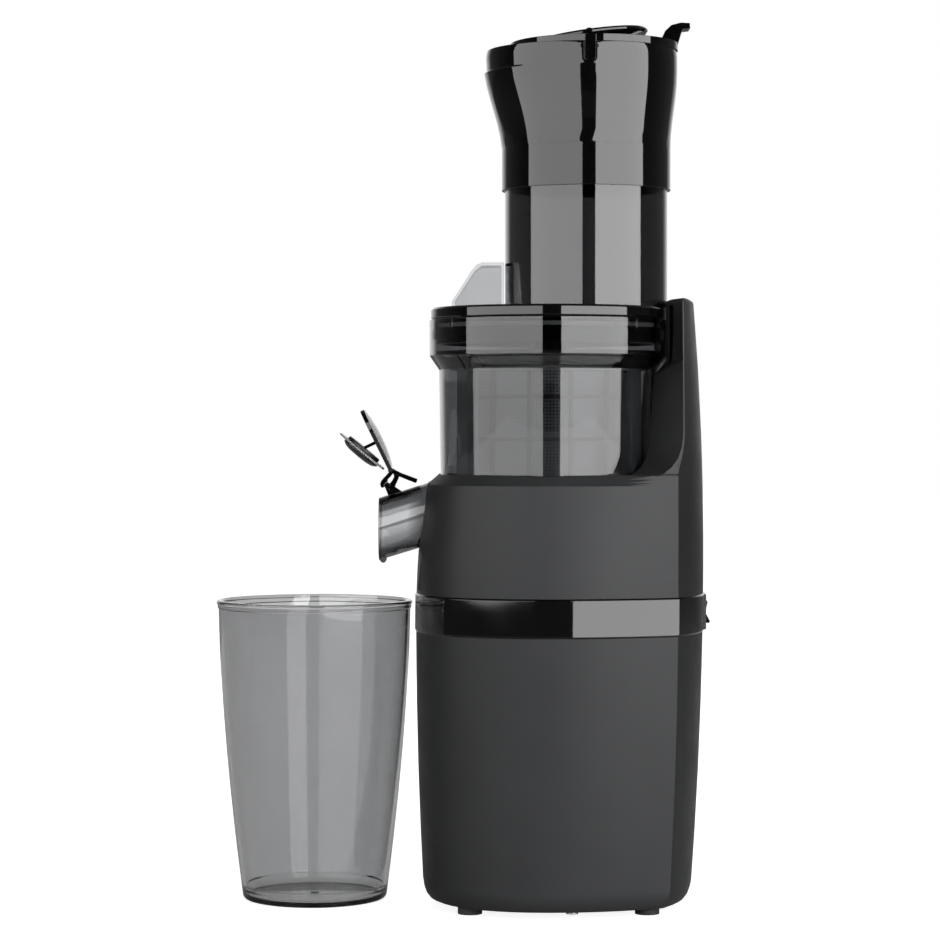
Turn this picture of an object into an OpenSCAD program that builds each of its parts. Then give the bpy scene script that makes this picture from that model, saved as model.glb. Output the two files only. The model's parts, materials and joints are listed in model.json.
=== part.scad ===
// Cold press juicer: a tall motor base with a column behind a lift-off juicing bowl,
// a twist-on lid with a wide feed tube, a lift-off hopper with a tilting flap, a hinged
// spout cap and a free-standing juice cup.
// The origin is on the auger's axis, at the level that the feet stand on.
// +Z is up, the spout points along -Y, the column stands on the +Y side.

/* [Base] */
// Distance from the auger axis to the front of the body at its fullest
body_front = 66; // [63:0.5:72]
// Half width of the body at its fullest
body_side = 64.5; // [62:0.5:70]
// Distance from the auger axis to the back of the body at its fullest
body_rear = 77.5; // [76:0.5:84]
// Half distance between the two upright rear edges
edge_half = 50; // [46:0.5:54]
// How far the rear panel bows out behind its two upright edges
rear_bow = 15.7; // [12:0.1:18]
// Height above the gloss band's lower edge at which the body is fullest
full_rise = 4; // [-14:1:14]
// Wall thickness of the housings
wall = 2.5; // [2:0.1:3.2]
// Gap between the gearbox cover and the gloss band
band_gap = 1; // [0.5:0.5:5]
// Height of the gloss band
band_h = 19; // [17:0.5:20]
// How far the gloss band stands proud of the housings
band_proud = 0.6; // [0.3:0.1:1.2]
// Height of the deck that surrounds the bowl above the gloss band
well_h = 59; // [53:1:65]
// Height of the column's top above the lid seam
column_rise = 9.9; // [6:0.1:16]
// Rounding along the outer edge of the deck
deck_round = 5; // [3:0.5:6]
// Rounding under the lower housing
base_round = 9; // [5:0.5:12]
// Height of the housing's lower edge above the ground
ground_gap = 3.5; // [2.5:0.5:5]
// Radius of a foot
foot_r = 6; // [5:0.5:8]
// Half distance between the feet across the body
foot_x = 37; // [32:0.5:40]
// Distance from the auger axis to the front feet
foot_front = 39; // [34:0.5:42]
// Distance from the auger axis to the rear feet
foot_rear = 47.5; // [42:0.5:50]
// Height of the fillet where the column meets the deck
scoop_h = 20; // [14:1:26]

/* [Switch and inlet] */
// Width of the rocker switch
rocker_w = 13; // [11:0.5:16]
// Height of the rocker switch
rocker_h = 15; // [12:0.5:16]
// Radius of the cable inlet bore
inlet_r = 4; // [3:0.25:5]
// Height of the cable inlet
inlet_z = 26; // [22:1:40]

/* [Bowl] */
// Outer radius of the bowl at its foot
bowl_r = 53.3; // [50:0.1:54.5]
// How much wider the bowl is below its collar than at its foot
bowl_taper = 1.2; // [0.7:0.1:2.2]
// Wall thickness of the bowl
bowl_wall = 2.2; // [1.8:0.1:2.8]
// How far the bowl's collar stands out from the wall below it
collar_step = 4.75; // [4:0.05:5.5]
// Height of the collar
collar_h = 17.6; // [16:0.1:20]
// Height of the cone under the collar
cone_h = 7; // [5:0.5:10]
// Height of the lid seam above the bowl's floor
bowl_depth = 109.6; // [103:0.2:116]
// Height of the bowl's floor above the floor of its well
floor_rise = 21.5; // [20:0.5:24]
// Gap between the bowl and the base that it lifts out of
bowl_gap = 1.2; // [0.8:0.1:1.6]

/* [Spout] */
// Outer radius of the spout tube
spout_r = 15; // [13:0.25:16]
// Wall thickness of the spout tube
spout_wall = 1.8; // [1.4:0.1:2.4]
// Downward slope of the spout
spout_tilt = 17; // [12:0.5:22]
// How far the spout's mouth stands in front of the body
spout_reach = 18.5; // [14:0.5:24]
// Height of the centre of the spout's mouth above the bowl's floor
mouth_rise = 5.5; // [4:0.5:8]
// Radius of the cap's hinge pin
cap_pin_r = 1.5; // [1.2:0.1:2]
// Height of the hinge pin above the top of the spout
cap_pin_h = 4.9; // [4.5:0.1:6]
// Distance from the mouth back to the hinge pin
cap_pin_back = 4.25; // [3.5:0.25:6]
// Length of the cap's lever plate
lever_l = 33; // [30:0.5:38]
// Width of the cap's lever plate
lever_w = 22; // [16:1:26]
// Radius of the silicone stopper's flange
plug_r = 14.35; // [12:0.05:15]

/* [Pulp chute] */
// Outer width of the pulp chute
chute_w = 30; // [26:1:34]
// How far the chute's mouth stands out from the side of the body
chute_reach = 13.5; // [10:0.5:17]
// Wall thickness of the chute
chute_wall = 2; // [1.6:0.1:2.4]

/* [Juicing set] */
// Distance from the bowl's outside to the strainer basket
strainer_gap = 13.3; // [12.3:0.1:15.3]
// Number of upright ribs on the strainer
strainer_ribs = 12; // [8:1:16]
// Distance from the outside of the strainer basket to the auger's screw flight
flight_gap = 4; // [3:0.5:7]
// Radius of the auger's core at its foot
core_r = 15; // [14:0.5:18]
// Radius of the auger's core below its top
core_top_r = 9; // [8:0.5:12]
// Turns of the auger's screw flight
flight_turns = 2.5; // [1.5:0.25:3.5]
// Across-flats size of the drive hexagon
hex_af = 10; // [9:0.5:11]
// Clearance between a gear's bore or a hinge hole and its pin
run_gap = 0.06; // [0.03:0.01:0.09]
// Number of wiper arms
wiper_arms = 3; // [2:1:4]

/* [Lid] */
// How far the lid's flange is set in from the bowl's collar
lid_inset = 0.75; // [0.25:0.05:2]
// Thickness of the lid's flange
lid_t = 6.1; // [5:0.1:8]
// Outer radius of the feed tube
tube_r = 40.5; // [38:0.1:41.2]
// Wall thickness of the feed tube
tube_wall = 2.3; // [1.8:0.1:3]
// How far the feed tube stands behind the auger axis
tube_y = 19; // [16.5:0.5:19]
// How far the feed tube stands above the lid's flange
tube_h = 75.3; // [64:0.1:78]
// Height of the lid's grip above the flange
grip_h = 22.3; // [16:0.1:30]
// Width of the lid's grip
grip_w = 28; // [20:1:34]
// How far the lid twists to come off
twist_deg = 25; // [15:1:35]

/* [Hopper] */
// Depth of the hopper's skirt around the feed tube
skirt_h = 16.7; // [14:0.1:26]
// Height of the hopper's rim above the feed tube
hopper_h = 52.7; // [42:0.1:66]
// Wall thickness of the hopper's skirt
skirt_wall = 1.6; // [1.5:0.1:3]
// How far the hopper bulges out in front of its skirt
bulge_front = 9.4; // [4:0.2:14]
// How far the hopper's rim stands out behind its skirt
bulge_back = 3.4; // [2:0.2:8]
// How far the hopper's rim stands out beside its skirt
bulge_side = 2.4; // [1.6:0.2:8]
// How far the hopper's cover ring is set in from the hopper's sides
cover_inset = 2.7; // [1.8:0.1:3.5]
// Thickness of the cover ring
cover_t = 3.6; // [3:0.1:5]
// Gap between the tilting flap and the cover's inside
flap_gap = 4.45; // [4.4:0.05:8]
// Thickness of the tilting flap
flap_t = 2.6; // [2:0.1:3.4]
// Tilt of the flap at rest
flap_tilt = 8; // [0:1:12]

/* [Cup] */
// Height of the juice cup
cup_h = 150.5; // [120:0.5:154]
// Radius over the cup's rim bead
cup_rim_r = 49.4; // [44:0.1:50]
// Radius of the cup's foot
cup_foot_r = 36; // [32:0.5:40]
// Wall thickness of the cup
cup_wall = 2; // [1.6:0.1:2.6]
// Thickness of the cup's floor
cup_floor = 3.5; // [2.5:0.1:5]
// Gap between the cup's rim and the gloss band
cup_gap = 1.5; // [1:0.1:4]
// How far the cup stands to the side of the spout
cup_side = 12; // [0:1:14]

/* [Drive] */
// Radius of the motor can
can_r = 38; // [35:0.5:40]
// Height of the underside of the motor
motor_z = 16; // [14:1:18]
// Length of the motor can
can_h = 72; // [66:1:76]
// Radius of the rotor
rotor_r = 22; // [18:0.5:26]
// Air gap between the rotor and the stator
air_gap = 0.6; // [0.4:0.1:1]
// Radius of the motor shaft
shaft_r = 4; // [3:0.25:4.25]
// Teeth on each of the two driving pinions
pinion_teeth = 12; // [11:1:12]
// Module of the first gear pair
first_module = 1; // [1:0.01:1.02]
// Teeth on the first gear
first_teeth = 63; // [58:1:63]
// Teeth on the output gear
output_teeth = 48; // [44:1:50]
// Face width of the output gear
output_face = 10; // [8:0.5:11]

/* [Hidden] */
$fn = 96;
e = 0.01;
slit = 0.3;          // clearance between pieces that move past each other

// Gear train, from the motor up to the bowl. It is reverted: the layshaft's distance suits
// both pairs, so that motor and auger share an axis.
lay_y = (pinion_teeth + first_teeth) * first_module / 2;
output_module = 2 * lay_y / (pinion_teeth + output_teeth);
gear_r = output_teeth * output_module / 2;
can_top = motor_z + 6 + can_h;
case_z = can_top;
case_floor = 5;
first_z = case_z + case_floor + 2;
first_face = 7;
pinion_face = 8;
output_z = first_z + pinion_face + 2;
case_top = output_z + output_face + 10;
cover_plate = 4;

// Heights, each from what carries it
band_z = case_top + cover_plate + band_gap;
band_top = band_z + band_h;
full_z = band_z + full_rise;
full_rear_z = full_z + 35;
well_floor_z = band_top + 4.5;
deck_z = band_top + well_h;
floor_z = well_floor_z + floor_rise;
mouth_z = floor_z + mouth_rise;
seam_z = floor_z + bowl_depth;
column_z = seam_z + column_rise;
lid_top = seam_z + lid_t;
tube_z = lid_top + tube_h;
hopper_z = tube_z - skirt_h;
rim_z = tube_z + hopper_h;

// Radii and reaches, each from what it stands in or on
bowl_top_r = bowl_r + bowl_taper;
collar_r = bowl_top_r + collar_step;
lid_r = collar_r - lid_inset;
strainer_r = bowl_r - strainer_gap;
flight_r = strainer_r - flight_gap;
skirt_r = tube_r + skirt_wall;
bulge = skirt_r + bulge_front;
hopper_back = skirt_r + bulge_back;
hopper_half = skirt_r + bulge_side;
cover_r = hopper_half - cover_inset;
mouth_y = body_front + spout_reach;
chute_x = body_side + chute_reach;

// The body's plan: squared-off round front, sides that draw in, bowed rear panel.
front_steps = 24;
side_steps = 5;
rear_steps = 12;
front_power = 2.3;
rear_arc_r = (edge_half * edge_half + rear_bow * rear_bow) / (2 * rear_bow);
function square(v) = v * v;
function lean(z, low, high, at) = (z < at ? low : high) * square(z - at);
function front_r(z) = body_front - lean(z, 0.00021, 0.00092, full_z);
function side_r(z) = body_side - lean(z, 0.00021, 0.00092, full_z);
function rear_y(z) = body_rear - lean(z, 0.00022, 0.00033, full_rear_z);

// The upright edge leans in towards the ground. Above the deck the scoop moves it back.
edge_y0 = body_rear - rear_bow;
neck_edge_y = edge_y0 + 3.6;
function scoop_share(z) = min(1, max(0, (z - deck_z - 2) / scoop_h));
function edge_y(z) = z < deck_z + 2
    ? edge_y0 - 0.000164 * square(min(0, z - full_rear_z + 12))
    : edge_y0 + (neck_edge_y - edge_y0) * (1 - square(1 - scoop_share(z)));
function arc_x(z, y) = sqrt(square(rear_arc_r) - square(y - rear_y(z) + rear_arc_r));
function arc_y(z, x) = rear_y(z) - rear_arc_r + sqrt(square(rear_arc_r) - square(x));
function edge_x(z) = arc_x(z, edge_y(z));

function front_point(z, a) = [
    -side_r(z) * sign(cos(a)) * pow(abs(cos(a)), 2 / front_power),
    -front_r(z) * pow(sin(a), 2 / front_power)
];
function side_point(z, s) = [
    side_r(z) - (side_r(z) - edge_x(z)) * square(s),
    edge_y(z) * s
];
function front_path(z) = concat(
    [for (k = [side_steps:-1:1]) let (p = side_point(z, k / side_steps)) [-p.x, p.y]],
    [for (k = [0:front_steps]) front_point(z, 180 * k / front_steps)],
    [for (k = [1:side_steps]) side_point(z, k / side_steps)]
);
function rear_path(z, half) = [
    for (k = [1:rear_steps - 1])
        let (x = half * (1 - 2 * k / rear_steps)) [x, arc_y(z, x)]
];
function plan(z) = concat(front_path(z), rear_path(z, edge_x(z)));
front_n = front_steps + 2 * side_steps + 1;
plan_n = front_n + rear_steps - 1;

// Offsets a closed outline inwards, with mitred corners.
function edge_normal(p, q) = let (d = q - p) [d.y, -d.x] / norm(d);
function inset(ring, t) = let (n = len(ring)) [
    for (i = [0:n - 1])
        let (
            before = edge_normal(ring[(i + n - 1) % n], ring[i]),
            after = edge_normal(ring[i], ring[(i + 1) % n])
        )
        ring[i] - t * (before + after) / (1 + before * after)
];
function lift(ring, z) = [for (p = ring) [p.x, p.y, z]];
function front_of(ring) = [for (i = [0:front_n - 1]) ring[i]];
function rear_of(ring) = [for (i = [front_n - 1:plan_n]) ring[i % plan_n]];
function joined(lists) = [for (l = lists) each l];

// A closed solid through outlines that hold the same number of points.
module loft(rings, strips = false) {
    n = len(rings[0]);
    m = len(rings);
    cap = strips ? strip_cap(n) : [[for (i = [0:n - 1]) i]];
    polyhedron(
        points = joined(rings),
        faces = concat(
            cap,
            [for (f = cap) [for (i = [len(f) - 1:-1:0]) (m - 1) * n + f[i]]],
            [for (j = [0:m - 2], i = [0:n - 1], f = quad(
                j * n + i, (j + 1) * n + i, (j + 1) * n + (i + 1) % n, j * n + (i + 1) % n)) f]
        )
    );
}
function quad(a, b, c, d) = [[a, b, c], [a, c, d]];
// The end of a crescent, in strips from its front path to its rear path.
function strip_cap(n) = concat([[0, 1, n - 1], [n / 2 - 1, n / 2, n / 2 + 1]],
    [for (i = [1:n / 2 - 2]) each quad(i, i + 1, n - i - 1, n - i)]);

// A wall between an outer and an inner path, open or closed along its length.
module wall_loft(outer, inner, closed = false) {
    n = len(outer[0]);
    m = len(outer);
    in0 = m * n;
    last = closed ? n - 1 : n - 2;
    top = (m - 1) * n;
    sides = [for (j = [0:m - 2], i = [0:last]) let (
        a = j * n + i, b = a + n, c = (j + 1) * n + (i + 1) % n, d = c - n)
        each concat(quad(a, b, c, d), quad(in0 + d, in0 + c, in0 + b, in0 + a))];
    caps = [for (i = [0:last]) let (k = (i + 1) % n)
        each concat(quad(i, k, in0 + k, in0 + i),
            quad(top + k, top + i, in0 + top + i, in0 + top + k))];
    ends = closed ? [] : [for (j = [0:m - 2]) let (a = j * n, c = j * n + n - 1)
        each concat(quad(in0 + a, in0 + a + n, a + n, a),
            quad(c, c + n, in0 + c + n, in0 + c))];
    polyhedron(points = concat(joined(outer), joined(inner)),
        faces = concat(sides, caps, ends));
}

module ring(r_out, r_in, z0, z1) {
    translate([0, 0, z0]) difference() {
        cylinder(r = r_out, h = z1 - z0);
        translate([0, 0, -1]) cylinder(r = r_in, h = z1 - z0 + 2);
    }
}
module rod(r, z0, z1, $fn = $fn) {
    translate([0, 0, z0]) cylinder(r = r, h = z1 - z0);
}
module across(r, length) {
    rotate([0, 90, 0]) cylinder(r = r, h = length, center = true);
}
module block(x0, x1, y0, y1, z0, z1) {
    translate([x0, y0, z0]) cube([x1 - x0, y1 - y0, z1 - z0]);
}

// ---- Gears: involute teeth at a 25 degree pressure angle ----
pressure = 25;
backlash = 0.12;
function inv_deg(a) = tan(a) * 180 / PI - a;
function flank(rp, rb, half, r) = let (c = min(1, rb / r)) half + inv_deg(pressure) - inv_deg(acos(c));
function gear_outline(teeth, m, add, ded, slack) = let (
    rp = teeth * m / 2,
    rb = rp * cos(pressure),
    low = rp - ded,
    base = max(rb, low + e),
    tip = rp + add,
    half = 90 / teeth - slack / rp * 90 / PI,
    radii = [low, base, (base + tip + rp) / 3, tip]
) [
    for (k = [0:teeth - 1], side = [-1, 1], j = [0:3]) let (
        r = radii[side < 0 ? j : 3 - j],
        a = k * 360 / teeth + side * flank(rp, rb, half, r)
    ) r * [cos(a), sin(a)]
];
module spur(teeth, m, turn, z0, z1) {
    translate([0, 0, z0]) rotate([0, 0, turn]) linear_extrude(z1 - z0)
        polygon(gear_outline(teeth, m, m, 1.25 * m, backlash / 2));
}
module tooth_spaces(teeth, m, turn, z0, z1) {
    translate([0, 0, z0]) rotate([0, 0, turn]) linear_extrude(z1 - z0)
        polygon(gear_outline(teeth, m, 1.25 * m, m, -backlash / 2));
}

case_wall = 2;
bearing_h = 9;
drive_r = 8;

// ---- Base ----
plate_t = 3;
foot_h = ground_gap + 2;
foot_places = [[foot_x, -foot_front], [-foot_x, -foot_front], [foot_x, foot_rear], [-foot_x, foot_rear]];
plate_inset = wall + 0.3;
boss_r = 4.5;
screw_shank = 1.7;
boss_edges = [4, 14, front_n - 15, front_n - 5];   // where along the wall the base screws stand
cover_edges = [3, 14, front_n - 15, front_n - 4];  // and the gearbox cover's screws
boss_inset = base_round / 2 + plate_inset + boss_r;
boss_places = [for (k = boss_edges) inset(plan(ground_gap + base_round), boss_inset)[k]];
boss_top = ground_gap + plate_t + 18;
boss_feet = [for (k = boss_edges) inset(plan(ground_gap + base_round), wall + 0.6)[k]];

module feet() {
    color("#1d1d1e") for (p = foot_places) translate(p) union() {
        rod(foot_r, 0, ground_gap);
        rod(foot_r - 2, ground_gap - e, foot_h);
    }
}

function low_plan(z, t) = let (
    k = max(0, 1 - (z - ground_gap) / base_round),
    pull = base_round * 0.45 * (1 - sqrt(max(0, 1 - k * k)))
) inset(plan(z), t + pull);
low_levels = concat(
    [for (k = [0:4]) ground_gap + base_round * (1 - cos(90 * k / 4))],
    [for (s = [0.2, 0.45, 0.72, 1]) ground_gap + base_round + s * (band_z - ground_gap - base_round)]
);

module base_plate() {
    color("#232324") difference() {
        loft([for (z = [ground_gap, ground_gap + plate_t])
            lift(low_plan(ground_gap, plate_inset), z)]);
        for (p = foot_places) translate(p) rod(foot_r - 2, 0, foot_h);
        for (p = boss_places) translate(p) rod(screw_shank, 0, foot_h + 5);
        for (k = [-4:4]) block(k * 5 - 1.2, k * 5 + 1.2, -22, 22, 0, 10);
    }
}

module base_screws() {
    color("#8d9096") for (p = boss_places) translate(p) {
        rod(3, ground_gap - 1.6, ground_gap);
        rod(screw_shank, ground_gap - e, ground_gap + 14);
    }
}

cover_fit = wall + 0.4;
cover_screw_places = [for (k = cover_edges) inset(plan(case_top), cover_fit + boss_r - 1)[k]];

module lower_housing() {
    color("#3c3d3f") difference() {
        union() {
            wall_loft(
                [for (z = low_levels) lift(front_of(low_plan(z, 0)), z)],
                [for (z = low_levels) lift(front_of(low_plan(z, wall)), z)]);
            for (p = boss_places) translate(p) rod(boss_r, ground_gap + plate_t, boss_top);
            for (k = [0:3]) hull() {
                translate(boss_places[k]) rod(1.2, boss_top - 12, boss_top - 1, $fn = 16);
                translate(boss_feet[k]) rod(1.2, boss_top - 8, boss_top - 1, $fn = 16);
            }
            for (p = cover_screw_places) translate(p) rod(boss_r, case_top - 14, case_top);
        }
        for (p = boss_places) translate(p) rod(screw_shank, 0, boss_top - 2);
        for (p = cover_screw_places) translate(p) rod(screw_shank, case_top - 12, case_top + 1);
    }
}

// The gloss band is let in between the two housings and wraps over the rear panel as a thin skin.
band_skin = 1.2;
band_levels = [band_z, band_z + 0.8, band_top - 0.8, band_top];
band_bulges = [0, band_proud, band_proud, 0];
function band_inner(z) = let (thick = inset(plan(z), wall), thin = inset(plan(z), band_skin)) [
    for (i = [0:plan_n - 1]) i > 0 && i < front_n - 1 ? thick[i] : thin[i]
];
module trim_band() {
    color("#08080a") difference() {
        wall_loft(
            [for (k = [0:3]) lift(inset(plan(band_levels[k]), -band_bulges[k]), band_levels[k])],
            [for (z = band_levels) lift(band_inner(z), z)], closed = true);
        block(-flange_half, flange_half, switch_face - 6, switch_face + 6,
            switch_z - flange_high, switch_z + flange_high);
    }
}

// The well that the bowl stands in, and the slots that its spout and chute drop into.
well_r = bowl_r + bowl_gap + 0.3;
well_wall = 2;
well_floor_t = 2.5;
spout_slope = tan(spout_tilt);
function spout_z(y) = mouth_z + (mouth_y - y) * spout_slope;
slot_half = spout_r + bowl_gap;
slot_bottom = spout_z(front_r(well_floor_z + 15)) - slot_half / cos(spout_tilt);
chute_half = chute_w / 2 + bowl_gap;
chute_low = well_floor_z + 1.6;
drive_clear = drive_r + 0.5;

// Deck outline. The rear panel's place is cut out of it later.
// The rounding along the deck fades out where the scoop starts.
edge_strip = 0.8;
scoop_reach = 10.6;
scoop_front = edge_y0 - edge_strip - scoop_reach;
fade_length = 13;
function round_share(y) = min(1, max(0, (scoop_front - y) / fade_length));
function shell_plan(z, t) = let (full = plan(z), pulled = inset(full, t)) concat(
    [for (i = [0:front_n - 1]) full[i] + (pulled[i] - full[i]) * round_share(full[i].y)],
    rear_path(z, edge_x(z)));
deck_levels = [for (k = [0:4]) deck_z - deck_round * cos(90 * k / 4)];
deck_pulls = [for (k = [0:4]) deck_round * (1 - sin(90 - 90 * k / 4))];
shell_levels = [band_top, band_top + 12, band_top + 28, deck_levels[0]];

// The room under the deck: a wall's thickness inside the front moulding, open behind.
room_levels = concat([band_top - 1], shell_levels);
function room_ring(z) = concat(front_of(inset(plan(z), wall)), [
    for (k = [0:rear_steps])
        let (x = (edge_x(z) - 2 * wall) * (1 - 2 * k / rear_steps)) [x, arc_y(z, x) + 1]
]);

// Column: the pocket follows the bowl, and the scoop's faces run out to the upright edges.
pocket_low = bowl_top_r + bowl_gap - 0.4;
pocket_high = collar_r + bowl_gap + 0.2;
collar_z = seam_z - collar_h;
cone_z = collar_z - cone_h;
function pocket_r(z) = z < cone_z - 3 ? pocket_low
    : z > collar_z - 3 ? pocket_high
    : pocket_low + (pocket_high - pocket_low) * (z - cone_z + 3) / cone_h;
corner_low = 24.5;
corner_high = 19;
function corner_x(z) = corner_low + (corner_high - corner_low)
    * min(1, max(0, (z - deck_z - scoop_h) / (cone_z - deck_z - scoop_h)));
function flare(z) = let (c = min(1, max(0, 1 - (z - deck_z) / scoop_h))) 1 - sqrt(1 - c * c);
function inner_corner(z) = let (
    r = pocket_r(z),
    y = sqrt(square(r) - square(corner_x(z))) - 12 * flare(z)
) [sqrt(square(r) - square(y)), y];
function outer_corner(z) = let (y = edge_y(z) - edge_strip - scoop_reach * pow(flare(z), 1.25))
    side_point(z, y / edge_y(z));
function crease(z) = [edge_x(z), edge_y(z)];
pocket_steps = rear_steps - 4;   // gives the column's front as many points as its rear
function mirrored(path) = [for (i = [len(path) - 1:-1:0]) [-path[i].x, path[i].y]];
function pocket_arc(z) = let (i = inner_corner(z), a = atan2(i.x, i.y)) [
    for (k = [0:pocket_steps]) let (t = a * (2 * k / pocket_steps - 1)) pocket_r(z) * [sin(t), cos(t)]
];
function neck_face(z) = [outer_corner(z), crease(z)];
function column_path(z) = concat(mirrored(neck_face(z)), pocket_arc(z), neck_face(z));

// The same outline with its faces straight to the creases, from which the walls are measured.
function plain_ring(z) = concat(mirrored([crease(z)]), pocket_arc(z), [crease(z)],
    rear_path(z, edge_x(z)));
plain_n = pocket_steps + 3;
function rear_line(z, t) = let (ring = inset(plain_ring(max(z, deck_z)), t), n = len(ring)) z > deck_z
    ? [for (i = [plain_n - 1:n]) ring[i % n]] : rear_of(low_plan(z, t));
function rear_in(z) = rear_line(z, wall);

// The column's top is rounded by drawing its outline in towards its middle.
column_round = 2;
column_mid = body_rear - 11.5;
column_half = 6;
function column_pull(z) = let (d = max(0, z - column_z + column_round))
    column_round - sqrt(square(column_round) - square(d));
function squeezed(ring, z) = [for (p = ring) [
    p.x * (1 - column_pull(z) / edge_half),
    column_mid + (p.y - column_mid) * (1 - column_pull(z) / column_half)
]];
neck_levels = concat(
    [for (k = [1:5]) deck_z + scoop_h * (1 - cos(90 * k / 5))],
    [cone_z - 3, collar_z - 3],
    [for (k = [0:3]) column_z - column_round * cos(90 * k / 3)]);
column_root = 1.5;   // how deep the column's foot sinks into the deck, drawn in a little
function column_ring(z) = squeezed(concat(column_path(z), rear_path(z, edge_x(z))), z);
hollow_half = corner_low + 1.5;
hollow_low = deck_z + 4.6;
hollow_top = column_z - wall - 0.6;
module column_shell() {
    difference() {
        loft(concat(
            [[for (p = column_ring(deck_z)) [p.x * 0.985, p.y - 1.5, deck_z - column_root]]],
            [for (z = neck_levels) lift(column_ring(z), z)]), strips = true);
        difference() {
            block(-hollow_half, hollow_half, pocket_low, body_rear + 5, hollow_low, hollow_top);
            rod(pocket_high + wall, hollow_low - 1, hollow_top + 1);
        }
    }
}

// The place of the rear panel, with a fine joint in front of both creases.
panel_joint = 0.15;
function panel_corner(z, inner) = crease(z) + (crease(z) - inner) * 0.25 - [0, panel_joint];
function panel_ring(z) = let (
    line = rear_line(z, wall + panel_joint),
    q = panel_corner(z, line[0]),
    behind = q + [0, rear_bow + 3]
) concat([q, behind], mirrored([q, behind]), [for (i = [len(line) - 1:-1:0]) line[i]]);
panel_levels = concat([band_top - 1, shell_levels[1], shell_levels[2]], deck_levels,
    [for (z = neck_levels) if (z < column_z - 0.1) z]);
panel_last = panel_levels[len(panel_levels) - 1];

module saddle(low, high) {
    hull() {
        translate([0, 0, low]) children(0);
        translate([0, 0, high]) children(1);
    }
}

module upper_housing() {
    color("#3c3d3f") difference() {
        union() {
            difference() {
                loft(concat([for (k = [0:2]) lift(shell_plan(shell_levels[k], 0), shell_levels[k])],
                    [for (k = [0:4]) lift(shell_plan(deck_levels[k], deck_pulls[k]), deck_levels[k])]));
                loft([for (z = room_levels) lift(room_ring(z), z)]);
            }
            rod(well_r + well_wall, well_floor_z - well_floor_t, deck_levels[0] + 1);
            saddle(well_floor_z - well_floor_t, deck_levels[0]) {
                block(-slot_half - wall, slot_half + wall, -front_r(well_floor_z) + 1, -well_r, 0, 1);
                block(-slot_half - wall, slot_half + wall, -front_r(deck_levels[0]) + 1.8, -well_r, 0, 1);
            }
            saddle(well_floor_z - well_floor_t, deck_levels[0]) {
                block(-side_r(well_floor_z) + 1, -well_r, -chute_half - wall, chute_half + wall, 0, 1);
                block(-side_r(deck_levels[0]) + 1.8, -well_r, -chute_half - wall, chute_half + wall, 0, 1);
            }
            column_shell();
        }
        loft(concat([for (z = panel_levels) lift(panel_ring(z), z)],
            [lift(panel_ring(panel_last), column_z + 1)]));
        translate([0, 0, well_floor_z]) cylinder(r = well_r, h = deck_z);
        rod(drive_clear + 5, well_floor_z - 10, well_floor_z + 1);
        // Slot for the spout, round at its foot and open at the deck
        hull() for (y = [well_r - 12, front_r(full_z) + 20]) {
            translate([0, -y, slot_bottom + slot_half + (front_r(full_z) - y) * spout_slope])
                rotate([90, 0, 0]) cylinder(r = slot_half, h = e, $fn = 48);
            block(-slot_half, slot_half, -y, -y + e, deck_z - 1, deck_z + 20);
        }
        // Slot for the pulp chute
        block(-side_r(full_z) - 20, -well_r + 12, -chute_half, chute_half, chute_low, deck_z + 20);
        // Recess behind the column's face for the interlock sensor's tongue
        block(-4.2, 4.2, sensor_y - 0.6, sensor_y + 1, seam_z - 8, seam_z + 4);
        // Way up into the column for the sensor's wires
        block(-6, 6, sensor_y + 1, sensor_y + 7, deck_levels[0] - 1, deck_z + 5);
    }
}

// Rows of the rear panel: height, and how far it steps in to take the gloss band.
low_rows = [for (k = [0:len(low_levels) - 2]) [low_levels[k], 0]];
band_rows = concat([[band_z - e, 0]], [for (z = band_levels) [z, band_skin]], [[band_top + e, 0]]);
shell_rows = [for (k = [1:len(shell_levels) - 1]) [shell_levels[k], 0]];
neck_rows = [for (z = neck_levels) [z, 0]];
deck_rows = [for (k = [1:4]) [deck_levels[k], 0]];
rear_rows = concat(low_rows, band_rows, shell_rows, deck_rows, neck_rows);
function neck_rear(z) = [
    for (k = [0:rear_steps])
        let (x = edge_x(z) * (1 - 2 * k / rear_steps)) [x, arc_y(z, x)]
];
function rear_out(z, step) = z > deck_z ? squeezed(neck_rear(z), z) : rear_of(low_plan(z, step));
module rear_shell() {
    color("#333436") difference() {
        wall_loft(
            [for (row = rear_rows) lift(rear_out(row[0], row[1]), row[0])],
            [for (row = rear_rows) lift(rear_in(row[0]), row[0])]);
        block(-bezel_half, bezel_half, switch_face - 12, switch_face + 6,
            switch_z - bezel_high, switch_z + bezel_high);
        translate([inlet_x, 0, inlet_z]) rotate([-90, 0, 0]) cylinder(r = inlet_r + 2, h = 100);
    }
}

// ---- Rear switch and cable inlet ----
inlet_x = -24;
switch_z = band_z + band_h / 2;
bezel_half = rocker_w / 2 + 1.5;
bezel_high = rocker_h / 2 + 0.5;
flange_half = bezel_half + 1;
flange_high = bezel_high + 0.7;
switch_face = rear_y(switch_z) + band_proud;
flange_back = rear_y(band_top) - band_skin;
rocker_pivot = switch_face - 3.2;
rocker_pin_r = 1.5;
module switch_bezel() {
    color("#101012") difference() {
        union() {
            block(-flange_half, flange_half, flange_back, switch_face + 0.6,
                switch_z - flange_high, switch_z + flange_high);
            block(-bezel_half, bezel_half, switch_face - 13, flange_back + e,
                switch_z - bezel_high, switch_z + bezel_high);
        }
        block(-rocker_w / 2 - slit, rocker_w / 2 + slit, switch_face - 8, switch_face + 5,
            switch_z - bezel_high + 1.1, switch_z + bezel_high - 1.1);
        translate([0, rocker_pivot, switch_z]) across(rocker_pin_r + run_gap, 2 * bezel_half + 1);
    }
}
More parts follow.
